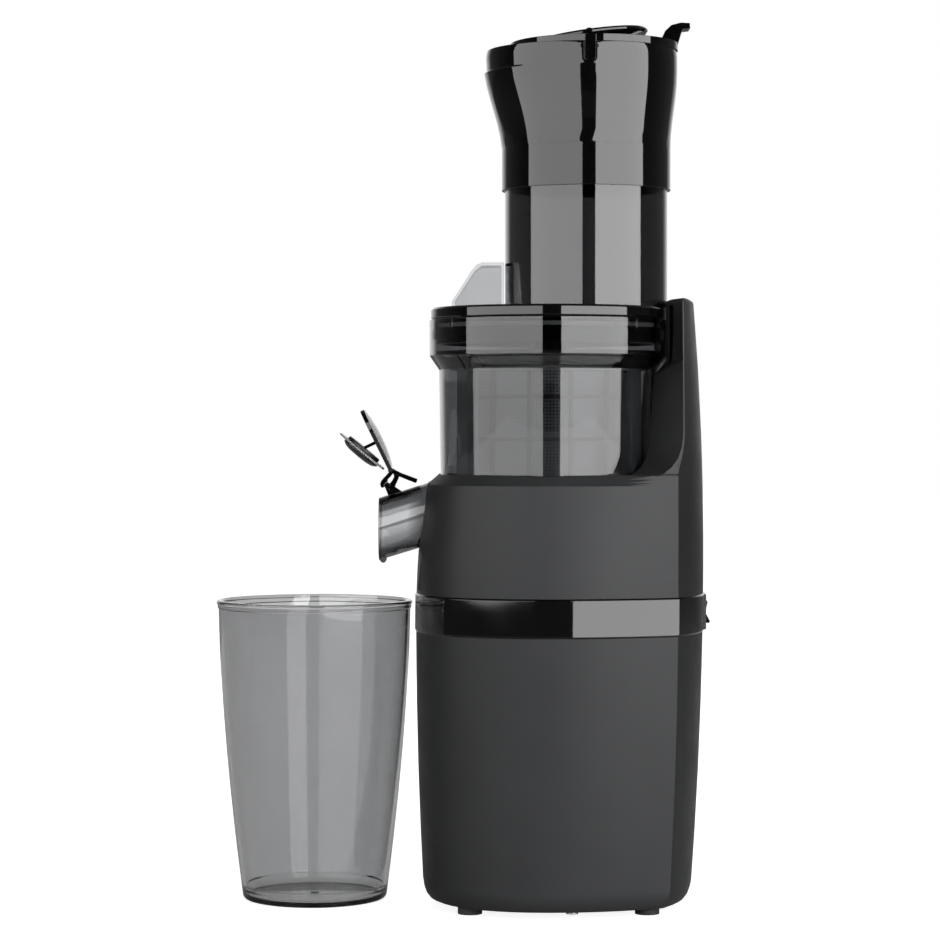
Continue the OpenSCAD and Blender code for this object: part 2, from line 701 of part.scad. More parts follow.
module power_rocker() {
    half = rocker_h / 2 - 1.8;
    color("#0c0c0e") translate([0, rocker_pivot, switch_z]) {
        rotate([90, 0, 90]) translate([0, 0, -rocker_w / 2]) linear_extrude(rocker_w) polygon([
            [-1.8, -half + 0.9], [5.4, -half], [5.9, -half + 1], [4, -1], [3.9, 1], [4.7, half - 1],
            [4.3, half], [-1.8, half - 0.9], [-2.8, 0]
        ]);
        across(rocker_pin_r, 2 * bezel_half - 0.4);
    }
}
module switch_block() {
    color("#5d6066") {
        block(-rocker_w / 2, rocker_w / 2, switch_face - 18, switch_face - 13,
            switch_z - rocker_h / 2 + 1, switch_z + rocker_h / 2 - 1);
        for (x = [-3.5, 3.5]) block(x - 1.2, x + 1.2, switch_face - 22, switch_face - 18 + e,
            switch_z - 2, switch_z + 2);
    }
}
module cable_inlet() {
    y = arc_y(inlet_z, inlet_x);
    color("#141416") translate([inlet_x, 0, inlet_z]) rotate([-90, 0, 0]) difference() {
        union() {
            translate([0, 0, y - 10]) cylinder(r = inlet_r + 2, h = 12);
            translate([0, 0, y - 10]) cylinder(r = inlet_r + 4, h = 3);
        }
        translate([0, 0, y - 11]) cylinder(r = inlet_r, h = 20);
    }
}

// ---- Motor ----
mount_share = 0.62;   // the motor's posts stand this far out towards the feet
module motor_end_cap() {
    color("#b4b7bb") difference() {
        union() {
            rod(can_r, motor_z + 2, motor_z + 6);
            rod(12, motor_z, motor_z + 8);
            for (p = foot_places) translate(p * mount_share) rod(4, ground_gap + plate_t, motor_z + 3);
        }
        rod(9, motor_z + 2, motor_z + 10);
        rod(shaft_r + 1, motor_z - 1, motor_z + 10);
    }
}
module lower_bearing() {
    color("#9da1a7") ring(9, shaft_r, motor_z + 2, motor_z + 8);
}
module motor_can() {
    color("#c3c6ca") ring(can_r, can_r - 1.5, motor_z + 6, can_top);
}
stator_z0 = motor_z + 20;
stator_z1 = can_top - 12;
module stator() {
    color("#a65a2e") difference() {
        rod(can_r - 1.5, stator_z0, stator_z1);
        rod(rotor_r + air_gap, stator_z0 - 1, stator_z1 + 1);
        for (a = [0:60:300]) rotate([0, 0, a]) translate([rotor_r + 7, 0, stator_z0 - 1])
            cylinder(r = 3.2, h = can_h);
    }
}
module rotor_core() {
    color("#76797e") ring(rotor_r, shaft_r, stator_z0, stator_z1);
}
module motor_shaft() {
    color("#c9cccf") rod(shaft_r, motor_z + 1, first_z + pinion_face);
}
module cooling_fan() {
    z0 = motor_z + 10;
    color("#d9d4c6") {
        ring(10, shaft_r, z0, z0 + 6);
        for (a = [0:40:320]) rotate([0, 0, a]) block(9.5, rotor_r + 9, -0.8, 0.8, z0 + 0.5, z0 + 5.5);
        ring(rotor_r + 10, rotor_r + 8.5, z0, z0 + 6);
    }
}
module upper_bearing() {
    color("#9da1a7") ring(11, shaft_r, case_z, case_z + case_floor);
}

// ---- Gearbox ----
lay_r = 4;
first_gear_r = first_teeth * first_module / 2 + first_module;
case_front_r = gear_r + output_module + 3;
case_back_r = first_gear_r + 1.2;
module case_outline(grow) {
    hull() {
        circle(r = case_front_r + grow, $fn = 64);
        translate([0, lay_y]) circle(r = case_back_r + grow, $fn = 64);
    }
}
module gearbox_housing() {
    color("#8b8e93") difference() {
        union() {
            translate([0, 0, case_z]) linear_extrude(case_top - case_z) case_outline(case_wall);
            rod(can_r, case_z, case_z + 3);
        }
        translate([0, 0, case_z + case_floor]) linear_extrude(case_top) case_outline(0);
        rod(11, case_z - 1, case_z + case_floor + 1);
        translate([0, lay_y, 0]) rod(lay_r, case_z + 2, case_z + case_floor + 1);
    }
}
module gearbox_cover() {
    z1 = case_top + cover_plate;
    color("#8b8e93") difference() {
        union() {
            loft([for (z = [case_top, z1]) lift(inset(plan(case_top), cover_fit), z)]);
            rod(17, case_top, case_top + bearing_h);
            translate([0, lay_y, 0]) rod(8, case_top - 2, case_top + 1);
        }
        rod(14, case_top - 2, case_top + bearing_h + 1);
        translate([0, lay_y, 0]) rod(lay_r, case_top - 3, case_top + 2);
        for (p = cover_screw_places) translate(p) rod(screw_shank, case_top - 1, z1 + 1);
        // Cable passage beside the gearbox
        block(case_back_r + 6, case_back_r + 12, -8, 8, case_top - 1, z1 + 1);
    }
}
module gearbox_screws() {
    z1 = case_top + cover_plate;
    color("#8d9096") for (p = cover_screw_places) translate(p) {
        rod(3, z1, z1 + 1.8);
        rod(screw_shank, case_top - 10, z1 + e);
    }
}
module output_bearing() {
    color("#9da1a7") ring(14, drive_r, case_top, case_top + bearing_h);
}
module layshaft_pin() {
    color("#c9cccf") translate([0, lay_y, 0]) rod(lay_r, case_z + 2, case_top + 2);
}
module motor_pinion() {
    color("#c2a04c") difference() {
        spur(pinion_teeth, first_module, 90, first_z, first_z + pinion_face);
        rod(shaft_r, first_z - 1, first_z + pinion_face + 1);
    }
}
module first_gear() {
    color("#e6e2d6") translate([0, lay_y, 0]) difference() {
        spur(first_teeth, first_module, 270 + 180 / first_teeth, first_z + 0.5, first_z + 0.5 + first_face);
        rod(lay_r + run_gap, first_z - 1, first_z + 12);
        for (a = [0:60:300]) rotate([0, 0, a]) translate([first_gear_r * 0.62, 0, first_z])
            cylinder(r = 4.5, h = 12);
    }
}
module layshaft_pinion() {
    z0 = first_z + 0.5 + first_face;
    color("#c2a04c") translate([0, lay_y, 0]) difference() {
        spur(pinion_teeth, output_module, 270, z0, output_z + output_face + 2);
        rod(lay_r + run_gap, z0 - 1, case_top);
    }
}
module output_gear() {
    color("#c2a04c") difference() {
        union() {
            spur(output_teeth, output_module, 90 + 180 / output_teeth, output_z, output_z + output_face);
            rod(12, output_z, output_z + output_face + 3);
        }
        rod(drive_r, output_z - 1, output_z + output_face + 4);
        for (a = [0:60:300]) rotate([0, 0, a]) translate([gear_r * 0.66, 0, output_z - 1])
            cylinder(r = 5, h = output_face + 2);
    }
}
hex_z = well_floor_z + 3;
hex_top = floor_z - 1;
hex_r = hex_af / 2 / cos(30);
module drive_shaft() {
    color("#c9cccf") {
        rod(drive_r, output_z - 0.5, hex_z);
        translate([0, 0, hex_z - e]) rotate([0, 0, 30]) cylinder(r = hex_r, h = hex_top - hex_z, $fn = 6);
    }
}
module shaft_seal() {
    low = well_floor_z - well_floor_t;
    color("#1a1a1b") ring(drive_clear + 5, drive_r + run_gap, low, well_floor_z + 0.6);
}

// ---- Electronics ----
board_y = can_r + 14;
board_z = ground_gap + plate_t;
board_t = 1.6;
module control_board() {
    color("#2f6b42") translate([0, board_y, board_z]) block(-32, 32, 0, board_t, 0, 66);
}
module board_parts() {
    color("#39464f") translate([0, board_y, board_z]) {
        for (x = [-20, -6]) translate([x, 0, 33.5]) rotate([90, 0, 0]) cylinder(r = 5.5, h = 9);
        block(6, 24, -8, 0, 13.5, 29.5);
        block(8, 20, -6, 0, 39.5, 53.5);
        block(-24, -12, -5, 0, 7.5, 19.5);
    }
}
sensor_y = pocket_high + wall + 0.3;
module interlock_sensor() {
    color("#2a3138") {
        block(-5, 5, sensor_y, sensor_y + 4, seam_z - 8, seam_z + 4);
        block(-4, 4, sensor_y - 0.6, sensor_y + e, seam_z - 7.8, seam_z + 3.8);
    }
}

// ---- Bowl ----
bowl_low = well_floor_z + 0.4;
collar_wall = 2.6;
floor_t = 3;
hub_r = 12.5;
hub_bore = 10.5;
stem_r = 8.4;
spout_back = bowl_r - bowl_wall - 1.4;
idler_teeth = 12;
auger_teeth = 20;
ring_teeth = 44;
wiper_module = 1;
idler_x = (auger_teeth + idler_teeth) * wiper_module / 2;
pulp_in = hub_r + 0.7;
pulp_out = ring_teeth * wiper_module / 2 - wiper_module * 2;
ledge_z = collar_z;
ledge_r = bowl_top_r - 1;
groove_z = seam_z - 10;
groove_h = 5;
lug_h = 4;
lug_turn = 14;
lid_fit = 0.5;
collar_in = collar_r - collar_wall;

module bowl_profile() {
    polygon([
        [bowl_r, bowl_low], [bowl_r, floor_z], [bowl_top_r, cone_z], [collar_r, collar_z],
        [collar_r, seam_z], [collar_in, seam_z], [collar_in, ledge_z],
        [ledge_r, ledge_z], [bowl_top_r - bowl_wall, ledge_z - 5], [bowl_r - bowl_wall, floor_z],
        [hub_bore - 1, floor_z], [hub_bore - 1, floor_z - floor_t], [bowl_r - bowl_wall, floor_z - floor_t],
        [bowl_r - bowl_wall, bowl_low]
    ]);
}
module spout_tube(r, back, front) {
    translate([0, -mouth_y, mouth_z]) rotate([90 + spout_tilt, 0, 0])
        translate([0, 0, -(mouth_y - back) / cos(spout_tilt)])
        cylinder(r = r, h = (mouth_y - back) / cos(spout_tilt) + front);
}
chute_in = chute_w / 2 - chute_wall;
module chute_outer(w, low, grow) {
    rotate([90, 0, 0]) linear_extrude(w, center = true) polygon([
        [-hub_r - 1, floor_z - floor_t + e], [-hub_r - 1, chute_low + 4 - grow],
        [-side_r(floor_z) - 2, low - grow], [-chute_x, low - 9], [-chute_x - 4, low + 1],
        [-chute_x + 2, floor_z - floor_t - 3], [-side_r(floor_z) - 1, floor_z - floor_t + e]
    ]);
}
module wedge(r, from, to, z0, z1) {
    translate([0, 0, z0]) linear_extrude(z1 - z0) polygon(concat([[0, 0]],
        [for (k = [0:6]) let (a = from + (to - from) * k / 6) 2 * r * [cos(a), sin(a)]]));
}
module bowl() {
    color("#55585c", 0.55) difference() {
        union() {
            rotate_extrude() bowl_profile();
            ring(hub_r, hub_bore - 1, hex_z + 1, floor_z);
            difference() {
                spout_tube(spout_r, spout_back - 4, 20);
                block(-30, 30, -mouth_y - 40, -mouth_y, 0, 300);
                rod(bowl_r - bowl_wall / 2, floor_z - 30, collar_z);
            }
            // Drip lip under the mouth
            translate([0, -mouth_y + 2.2, mouth_z - spout_r / cos(spout_tilt) + 0.6]) across(1.6, 12);
            chute_outer(chute_w, chute_low + 0.6, 0);
        }
        rod(hub_bore, hex_z, floor_z - floor_t);
        intersection() {
            spout_tube(spout_r - spout_wall, spout_back - 2, 40);
            translate([0, 0, floor_z]) cylinder(r = 200, h = 100);
        }
        intersection() {
            spout_tube(spout_r - spout_wall, spout_back - 2, 40);
            block(-30, 30, -200, -bowl_r + e, 0, 300);
        }
        // Inside of the pulp chute
        intersection() {
            translate([-chute_wall, 0, 0]) chute_outer(2 * chute_in, chute_low + 0.6, -chute_wall);
            block(-chute_x + 1, -hub_r - 0.6, -50, 50, 0, floor_z - floor_t - e);
        }
        block(-chute_x + 1, -chute_x + 9.5, -chute_in, chute_in, 0, floor_z - 9);
        // Kidney hole that drops pulp into the chute
        intersection() {
            ring(pulp_out, pulp_in, floor_z - 10, floor_z + 1);
            wedge(pulp_out, 145, 215, floor_z - 12, floor_z + 2);
        }
        // Bayonet groove and its entries
        ring(collar_in + 1.5, collar_in - 1, groove_z, groove_z + groove_h);
        for (a = [0, 120, 240]) intersection() {
            ring(collar_in + 1.5, collar_in - 1, groove_z, seam_z + 1);
            wedge(collar_r, a + 30 + twist_deg - lug_turn / 2 - 2, a + 30 + twist_deg + lug_turn / 2 + 2,
                groove_z, seam_z + 1);
        }
        translate([idler_x, 0, 0]) rod(idler_pin_r, floor_z - 2, floor_z + 1);
    }
}
idler_pin_r = 2;
gear_low = floor_z + 0.6;
gear_high = gear_low + 5;
module idler_pin() {
    color("#c9cccf") translate([idler_x, 0, 0]) rod(idler_pin_r, floor_z - 2, gear_high);
}
module idler_gear() {
    color("#efeee9") translate([idler_x, 0, 0]) difference() {
        spur(idler_teeth, wiper_module, 180 + 180 / idler_teeth, gear_low, gear_high);
        rod(idler_pin_r + run_gap, gear_low - 1, gear_high + 1);
    }
}
module hub_seal() {
    color("#2b2b2d") ring(hub_bore, stem_r + run_gap, floor_z - floor_t - 5, floor_z - floor_t);
}
bracket_pin_y = -mouth_y + cap_pin_back;
bracket_pin_z = spout_z(mouth_y - cap_pin_back) + spout_r / cos(spout_tilt) + cap_pin_h;
bracket_half = 2.4;
module spout_bracket() {
    top_z = bracket_pin_z - cap_pin_h;
    color("#131315") {
        translate([0, bracket_pin_y, bracket_pin_z]) across(cap_pin_r, 14);
        difference() {
            hull() {
                translate([0, bracket_pin_y, bracket_pin_z]) across(cap_pin_r, 2 * bracket_half);
                block(-bracket_half, bracket_half, bracket_pin_y + 0.5, bracket_pin_y + 8,
                    top_z - 0.4, top_z + 1.4);
            }
            spout_tube(spout_r, spout_back, 20);
        }
    }
}

// ---- Strainer, auger and wiper ----
strainer_t = 1.4;
basket_z = gear_high + 3.4;
strainer_top = ledge_z + 2;
module strainer_mesh() {
    outer = strainer_r - strainer_t;
    color("#8e9296") ring(outer, outer - 0.4, basket_z + 2, ledge_z - 2);
}
module strainer_frame() {
    inner = strainer_r - strainer_t;
    color("#2a2b2d") {
        ring(collar_in - 0.4, inner - 0.4, ledge_z, strainer_top);
        ring(strainer_r, inner - 0.4, ledge_z - 2, ledge_z + e);
        ring(strainer_r, hub_r + 6, basket_z, basket_z + 2);
        for (s = [0.25, 0.5, 0.75]) translate([0, 0, basket_z + s * (ledge_z - basket_z)])
            ring(strainer_r, inner, -1, 1);
        for (k = [0:strainer_ribs - 1]) rotate([0, 0, (k + 0.5) * 360 / strainer_ribs])
            block(inner, strainer_r - 0.1, -1, 1, basket_z + 1, ledge_z - 1);
    }
}
auger_low = gear_high + 0.2;
auger_top = seam_z - 9;
auger_pin_r = 4;
auger_levels = 40;
auger_points = 40;
function auger_core(s) = core_r + (core_top_r - core_r) * pow(s, 1.4);
// The flight starts above the basket's floor and runs out below the auger's top.
flight_from = (basket_z + 2.4 - auger_low) / (auger_top - auger_low);
function auger_flight(s) = (flight_r - auger_core(s))
    * min(1, max(0, s - flight_from) / 0.06) * min(1, (1 - s) / 0.1);
function screw_share(a, s) = let (
    d = abs(((a - 360 * flight_turns * (1 - pow(1 - s, 1.3))) % 360 + 540) % 360 - 180)
) max(0, 1 - square(d / 26));
function auger_ring(s) = let (z = auger_low + s * (auger_top - auger_low)) [
    for (k = [0:auger_points - 1]) let (
        a = 360 * k / auger_points,
        r = auger_core(s) + auger_flight(s) * screw_share(a, s)
    ) [r * cos(a), r * sin(a), z]
];
module auger() {
    color("#3a3b3e") difference() {
        union() {
            loft([for (k = [0:auger_levels]) auger_ring(k / auger_levels)]);
            rod(auger_pin_r, auger_top - 2, seam_z - 2.5);
            rod(stem_r, hex_z + 1.6, auger_low + 1);
        }
        translate([0, 0, hex_z]) rotate([0, 0, 30])
            cylinder(r = hex_r + 0.2, h = hex_top - hex_z + 0.6, $fn = 6);
    }
}
module auger_gear() {
    color("#efeee9") difference() {
        spur(auger_teeth, wiper_module, 0, gear_low, auger_low);
        rod(stem_r, gear_low - 1, auger_low + 1);
    }
}
wiper_in = ring_teeth * wiper_module / 2;
wiper_out = bowl_r - bowl_wall - 2.2;
arm_t = 2.6;
arm_z = ledge_z - 4;
module wiper_frame() {
    color("#d8d8d4") difference() {
        union() {
            ring(wiper_in + 3, wiper_in - wiper_module + 0.2, gear_low - 0.2, gear_high);
            ring(wiper_out, wiper_out - arm_t - 1, gear_low - 0.2, gear_high - 2);
            ring(wiper_out, wiper_out - arm_t, arm_z - 4, arm_z);
            for (k = [0:wiper_arms - 1]) rotate([0, 0, 60 + k * 360 / wiper_arms]) {
                block(wiper_in + 2, wiper_out - 1, -4, 4, gear_low - 0.2, gear_high - 2);
                block(wiper_out - arm_t, wiper_out - 0.2, -5, 5, gear_high - 3, arm_z - 1);
            }
        }
        tooth_spaces(ring_teeth, wiper_module, 180 / ring_teeth, gear_low - 1, gear_high + 1);
    }
}
module wiper_blades() {
    blade_in = strainer_r + 0.5;
    color("#9aa0a4") for (k = [0:wiper_arms - 1]) rotate([0, 0, 60 + k * 360 / wiper_arms])
        block(blade_in, wiper_out - arm_t, -0.8, 0.8, basket_z, arm_z - 5);
}

// ---- Lid ----
ceiling_r = lid_r - 8.5;
ceiling_t = 3;
skirt_out = collar_in - lid_fit;
tube_in = tube_r - tube_wall;
gasket_z = groove_z + groove_h + 1;
module lid_ring() {
    color("#141517") {
        difference() {
            union() {
                rotate_extrude() polygon([
                    [ceiling_r, seam_z + slit], [lid_r - 0.8, seam_z + slit], [lid_r, seam_z + 1.1],
                    [lid_r, lid_top - 1], [lid_r - 1, lid_top], [ceiling_r, lid_top]
                ]);
                ring(skirt_out, skirt_out - 3, groove_z - 2, seam_z + 1);
                for (a = [0, 120, 240]) intersection() {
                    ring(collar_in + 1, skirt_out - 1, groove_z + 0.4, groove_z + 0.4 + lug_h);
                    wedge(collar_r, a + 30 - lug_turn / 2, a + 30 + lug_turn / 2, groove_z, seam_z);
                }
            }
            magnet();
            ring(skirt_out + 1, skirt_out - 1.2, gasket_z, gasket_z + 2);
        }
    }
}
magnet_r = 2;
magnet_y = lid_r - 5;
module magnet() {
    translate([0, magnet_y, seam_z + 3.4]) rotate([-90, 0, 0]) cylinder(r = magnet_r, h = 4);
}
module lid_magnet() {
    color("#b9bcc0") magnet();
}
module lid_gasket() {
    color("#46494c") ring(skirt_out + 0.2, skirt_out - 1.2, gasket_z, gasket_z + 2);
}
module feed_tube() {
    color("#3e4145", 0.6) difference() {
        union() {
            rod(ceiling_r, seam_z + slit, seam_z + slit + ceiling_t);
            translate([0, tube_y, 0]) rod(tube_r, seam_z + slit, tube_z);
        }
        translate([0, tube_y, 0]) rod(tube_in, seam_z - 1, tube_z + 1);
        ring(tube_y + tube_r + 1, ceiling_r, seam_z, lid_top);
    }
}
grip_front = 48;
grip_y = tube_r - tube_y + 0.5;
module grip_side(t) {
    top = lid_top + grip_h;
    polygon([
        [-grip_front + t, lid_top - 3 - t * 2], [-grip_front + t, lid_top + 3],
        [-grip_front + 10 + t * 0.8, lid_top + grip_h * 0.83 - t * 0.4],
        [-grip_front + 12 + t * 0.8, top - 1.2 - t], [-grip_front + 15, top - t],
        [-grip_y - t, top - t], [-grip_y - t, lid_top - 3 - t * 2]
    ]);
}
module lid_grip() {
    color("#6b6e73", 0.5) difference() {
        rotate([90, 0, 90]) linear_extrude(grip_w, center = true) grip_side(0);
        rotate([90, 0, 90]) linear_extrude(grip_w - 3, center = true) grip_side(1.5);
        translate([0, tube_y, 0]) rod(tube_r, lid_top - 20, lid_top + 60);
        rod(200, lid_top - 20, seam_z + slit + ceiling_t);
        ring(lid_r, ceiling_r, seam_z, lid_top);
    }
}
module auger_bridge() {
    color("#4a4c50") difference() {
        union() {
            block(-ceiling_r + 3, ceiling_r - 3, -3.5, 3.5, seam_z - 6, seam_z + slit);
            rod(8, seam_z - 8, seam_z + slit);
        }
        rod(auger_pin_r + run_gap, seam_z - 9, seam_z - 2);
    }
}

// ---- Hopper ----
rest_z = tube_z;
hopper_wall = 2;
cover_y = tube_y + hopper_back + 0.2 - cover_r;
mouth_r = cover_r - 3.3;
hopper_points = 48;
rim_step = 1.4;
flare_z = rest_z + 4;
step_z = rim_z - 11.2;
function ease(s) = let (c = min(1, max(0, s))) c * c * (3 - 2 * c);
function hopper_share(z) = ease((z - flare_z) / (step_z - flare_z));
function hopper_front(z) = skirt_r + (bulge - skirt_r) * ease((z - flare_z + 3) / (step_z - flare_z + 10))
    - (z > step_z + 0.1 ? rim_step : 0);
function hopper_rear(z) = skirt_r + (hopper_back - skirt_r) * hopper_share(z);
function hopper_width(z) = skirt_r + (hopper_half - skirt_r) * hopper_share(z);
function hopper_ring(z, t) = [
    for (k = [0:hopper_points - 1]) let (
        a = 360 * k / hopper_points,
        depth = (sin(a) < 0 ? hopper_front(z) : hopper_rear(z)) - t
    ) [(hopper_width(z) - t) * cos(a), tube_y + depth * sin(a), z]
];
hopper_levels = concat([flare_z - 1],
    [for (k = [1:6]) flare_z + (step_z - flare_z) * k / 6],
    [step_z + 0.8, rim_z - 4, rim_z - 1.5, rim_z]);
hopper_pulls = [0.4, 0, 0, 0, 0, 0, 0, 0, 0, 1, 2.6];
module hopper() {
    top = len(hopper_levels) - 1;
    color("#0d0e10") difference() {
        union() {
            translate([0, tube_y, 0]) rod(skirt_r, hopper_z, flare_z);
            loft([for (k = [0:top]) hopper_ring(hopper_levels[k], hopper_pulls[k])]);
        }
        loft(concat([for (k = [0:top - 1]) if (hopper_levels[k] < rim_z - 3)
            hopper_ring(hopper_levels[k], k == 0 ? skirt_r - tube_in - slit : hopper_wall)],
            [hopper_ring(rim_z - 2.6, hopper_wall)]));
        translate([0, tube_y, 0]) rod(tube_r + slit - 0.05, hopper_z - 1, rest_z);
        translate([0, tube_y, 0]) rod(tube_in, hopper_z - 1, flare_z + 1);
        translate([0, cover_y, 0]) rod(mouth_r, rim_z - 20, rim_z + 10);
        for (x = [-1, 1]) hull() {
            translate([x * (hopper_half + 2), tab_y, rim_z - 7.6]) across(tab_w / 2 + 0.4, 10);
            translate([x * (hopper_half + 2), tab_y, rim_z + 4]) across(tab_w / 2 + 0.4, 10);
        }
    }
}
tab_y = tube_y + 0.4;
tab_w = 5.4;
spigot_r = mouth_r - 0.25;
spigot_in = spigot_r - 2.3;
flap_r = spigot_in - flap_gap;
flap_pivot_z = rim_z - 0.2;
flap_pivot_y = tab_y;
hook_y = cover_y + cover_r;
module hopper_cover() {
    top = rim_z + cover_t;
    color("#0d0e10") difference() {
        union() {
            translate([0, cover_y, 0]) rod(cover_r, rim_z, top);
            translate([0, cover_y, 0]) rod(spigot_r, rim_z - 8, rim_z + 1);
            for (x = [-1, 1]) {
                side = sqrt(square(cover_r) - square(tab_y - cover_y));
                hull() for (z = [rim_z - 7.6, top - tab_w / 2])
                    translate([x * (hopper_half - 1.8), tab_y, z]) across(tab_w / 2, 1.6);
                mirror([x < 0 ? 1 : 0, 0, 0]) block(side - 3, hopper_half - 1,
                    tab_y - tab_w / 2, tab_y + tab_w / 2, rim_z + slit, top - 0.4);
            }
            // Finger hook at the back
            translate([0, hook_y, top]) rotate([90, 0, 90]) linear_extrude(12, center = true) polygon([
                [-9, -1], [-8.6, 2.2], [-6.6, 6.2], [-3.6, 9], [1, 10.2],
                [5.6, 10], [5.8, 7.4], [2.4, 7], [1.4, 5], [-0.4, -1]
            ]);
        }
        translate([0, cover_y, 0]) rod(spigot_in, rim_z - 20, top + 1);
        translate([0, flap_pivot_y, flap_pivot_z]) across(1.6 + run_gap, 2 * spigot_r - 0.8);
    }
}
flap_rise = cover_t + 1.4;
module feed_flap() {
    pin_half = spigot_in + 1.2;
    color("#0d0e10") translate([0, flap_pivot_y, flap_pivot_z]) {
        across(1.6, 2 * pin_half);
        for (x = [-1, 1]) hull() {
            translate([x * (flap_r - 2.5), 0, 0]) across(2.4, 2.6);
            translate([x * (flap_r - 4), 0, flap_rise + 1]) across(2.4, 2.6);
        }
        rotate([flap_tilt, 0, 0]) translate([0, 0, flap_rise]) rotate_extrude() polygon([
            [0, 0], [flap_r - 1, 0], [flap_r, 0.8], [flap_r, flap_t - 0.9], [flap_r - 0.9, flap_t],
            [0, flap_t]
        ]);
    }
}

// ---- Spout cap, open at rest ----
hook_half = 3.3;
hook_t = 3;
lever_t = 2;
lever_angle = 116;
plug_axis = 230.5;
plug_at = [-12.3, 17.5];
module cap_side(points, x0, t) {
    translate([x0 - t / 2, 0, 0]) rotate([90, 0, 90]) linear_extrude(t) polygon(points);
}
module spout_lever() {
    foot = [1.65, 7.85];
    dir = [cos(lever_angle), sin(lever_angle)];
    stem_from = foot + dir * 15.5;
    color("#131315") translate([0, bracket_pin_y, bracket_pin_z]) {
        // Lever plate with a rounded tip
        translate([0, foot.x, foot.y]) rotate([lever_angle, 0, 0])
            linear_extrude(lever_t, center = true) hull() {
                translate([0, lever_l - lever_w / 2]) circle(r = lever_w / 2, $fn = 48);
                translate([-8, -1]) square([16, 1]);
            }
        // Thumb tail
        translate([0, foot.x, foot.y]) cap_side([[-1.4, -0.8], [5, -3.6], [12.6, -6.6],
            [13.4, -4.6], [5.4, -1.6], [-0.4, 1.6]], 0, 16);
        // Two clips over the pin, each with a stop leg
        for (x = [-1, 1]) translate([x * (bracket_half + 0.4 + hook_t / 2), 0, 0]) difference() {
            union() {
                across(3.1, hook_t);
                cap_side([[-2.6, 1.6], [0.4, 9], [3.6, 8], [2.2, 2]], 0, hook_t);
                cap_side([[1.2, 8], [4.2, 7], [2.6, -3], [0.6, -3]], 0, hook_t);
            }
            across(cap_pin_r + run_gap, hook_t + 2);
            cap_side([[-0.9, 0], [-4, -4.5], [1.2, -6], [0.9, 0]], 0, hook_t + 2);
        }
        // Stem that carries the stopper
        hull() {
            translate([0, stem_from.x, stem_from.y]) across(0.8, 3);
            translate([0, plug_at.x + 1.6, plug_at.y + 1.6]) across(0.8, 3);
        }
    }
}
module spout_plug() {
    color("#1b1b1d") translate([0, bracket_pin_y + plug_at.x, bracket_pin_z + plug_at.y])
        rotate([plug_axis - 90, 0, 0]) rotate_extrude() polygon([
            [0, -1.6], [9.6, -1.6], [9.6, 0.2], [plug_r, 0.2], [plug_r, 1.1], [plug_r - 3.8, 1.1],
            [plug_r - 3.8, 2.4], [7.6, 4], [0, 4]
        ]);
}

// ---- Juice cup ----
cup_y = -(front_r(cup_h) + band_proud + cup_gap + cup_rim_r);
cup_bead = 1.1;
cup_steps = 12;
function cup_r(s) = cup_foot_r + (cup_rim_r - 1.1 - cup_foot_r) * (1 - pow(1 - s, 1.65));
module juice_cup() {
    color("#7d8085", 0.5) translate([-cup_side, cup_y, 0]) rotate_extrude() union() {
        polygon(concat(
            [[0, 0.6], [cup_foot_r - 4, 0.6], [cup_foot_r - 4, 0], [cup_foot_r - 2, 0]],
            [for (k = [1:cup_steps]) [cup_r(k / cup_steps), cup_h * k / cup_steps]],
            [for (k = [cup_steps:-1:1]) [cup_r(k / cup_steps) - cup_wall, cup_h * k / cup_steps]],
            [[cup_foot_r - 3, cup_floor], [0, cup_floor]]
        ));
        translate([cup_rim_r - cup_bead, cup_h - cup_bead]) circle(r = cup_bead, $fn = 24);
    }
}

feet();
base_plate();
base_screws();
lower_housing();
trim_band();
upper_housing();
rear_shell();
switch_bezel();
switch_block();
cable_inlet();
motor_can();
stator();
motor_end_cap();
lower_bearing();
upper_bearing();
gearbox_housing();
gearbox_cover();
gearbox_screws();
layshaft_pin();
output_bearing();
shaft_seal();
control_board();
board_parts();
interlock_sensor();
rotor_core();
motor_shaft();
motor_pinion();
cooling_fan();
first_gear();
layshaft_pinion();
output_gear();
drive_shaft();
power_rocker();
bowl();
hub_seal();
strainer_frame();
strainer_mesh();
spout_bracket();
idler_pin();
auger();
auger_gear();
idler_gear();
wiper_frame();
wiper_blades();
lid_ring();
feed_tube();
lid_grip();
auger_bridge();
lid_gasket();
lid_magnet();
hopper();
hopper_cover();
feed_flap();
spout_lever();
spout_plug();
juice_cup();
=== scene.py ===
"""Looks, light and camera for the cold press juicer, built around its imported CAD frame."""
import json
import math

import bmesh
import bpy
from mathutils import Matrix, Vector


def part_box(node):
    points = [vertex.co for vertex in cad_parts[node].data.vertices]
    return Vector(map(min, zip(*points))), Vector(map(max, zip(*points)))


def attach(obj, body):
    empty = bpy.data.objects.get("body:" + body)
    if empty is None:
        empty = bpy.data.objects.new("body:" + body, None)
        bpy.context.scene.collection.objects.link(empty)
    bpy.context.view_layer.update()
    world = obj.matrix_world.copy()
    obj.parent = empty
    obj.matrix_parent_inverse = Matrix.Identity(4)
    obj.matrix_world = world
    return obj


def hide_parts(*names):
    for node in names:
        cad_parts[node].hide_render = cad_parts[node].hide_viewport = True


MM = 0.001
SHARP = math.radians(32)       # edges sharper than this stay sharp
WELD = 0.000004                # points closer than this, in metres, become one

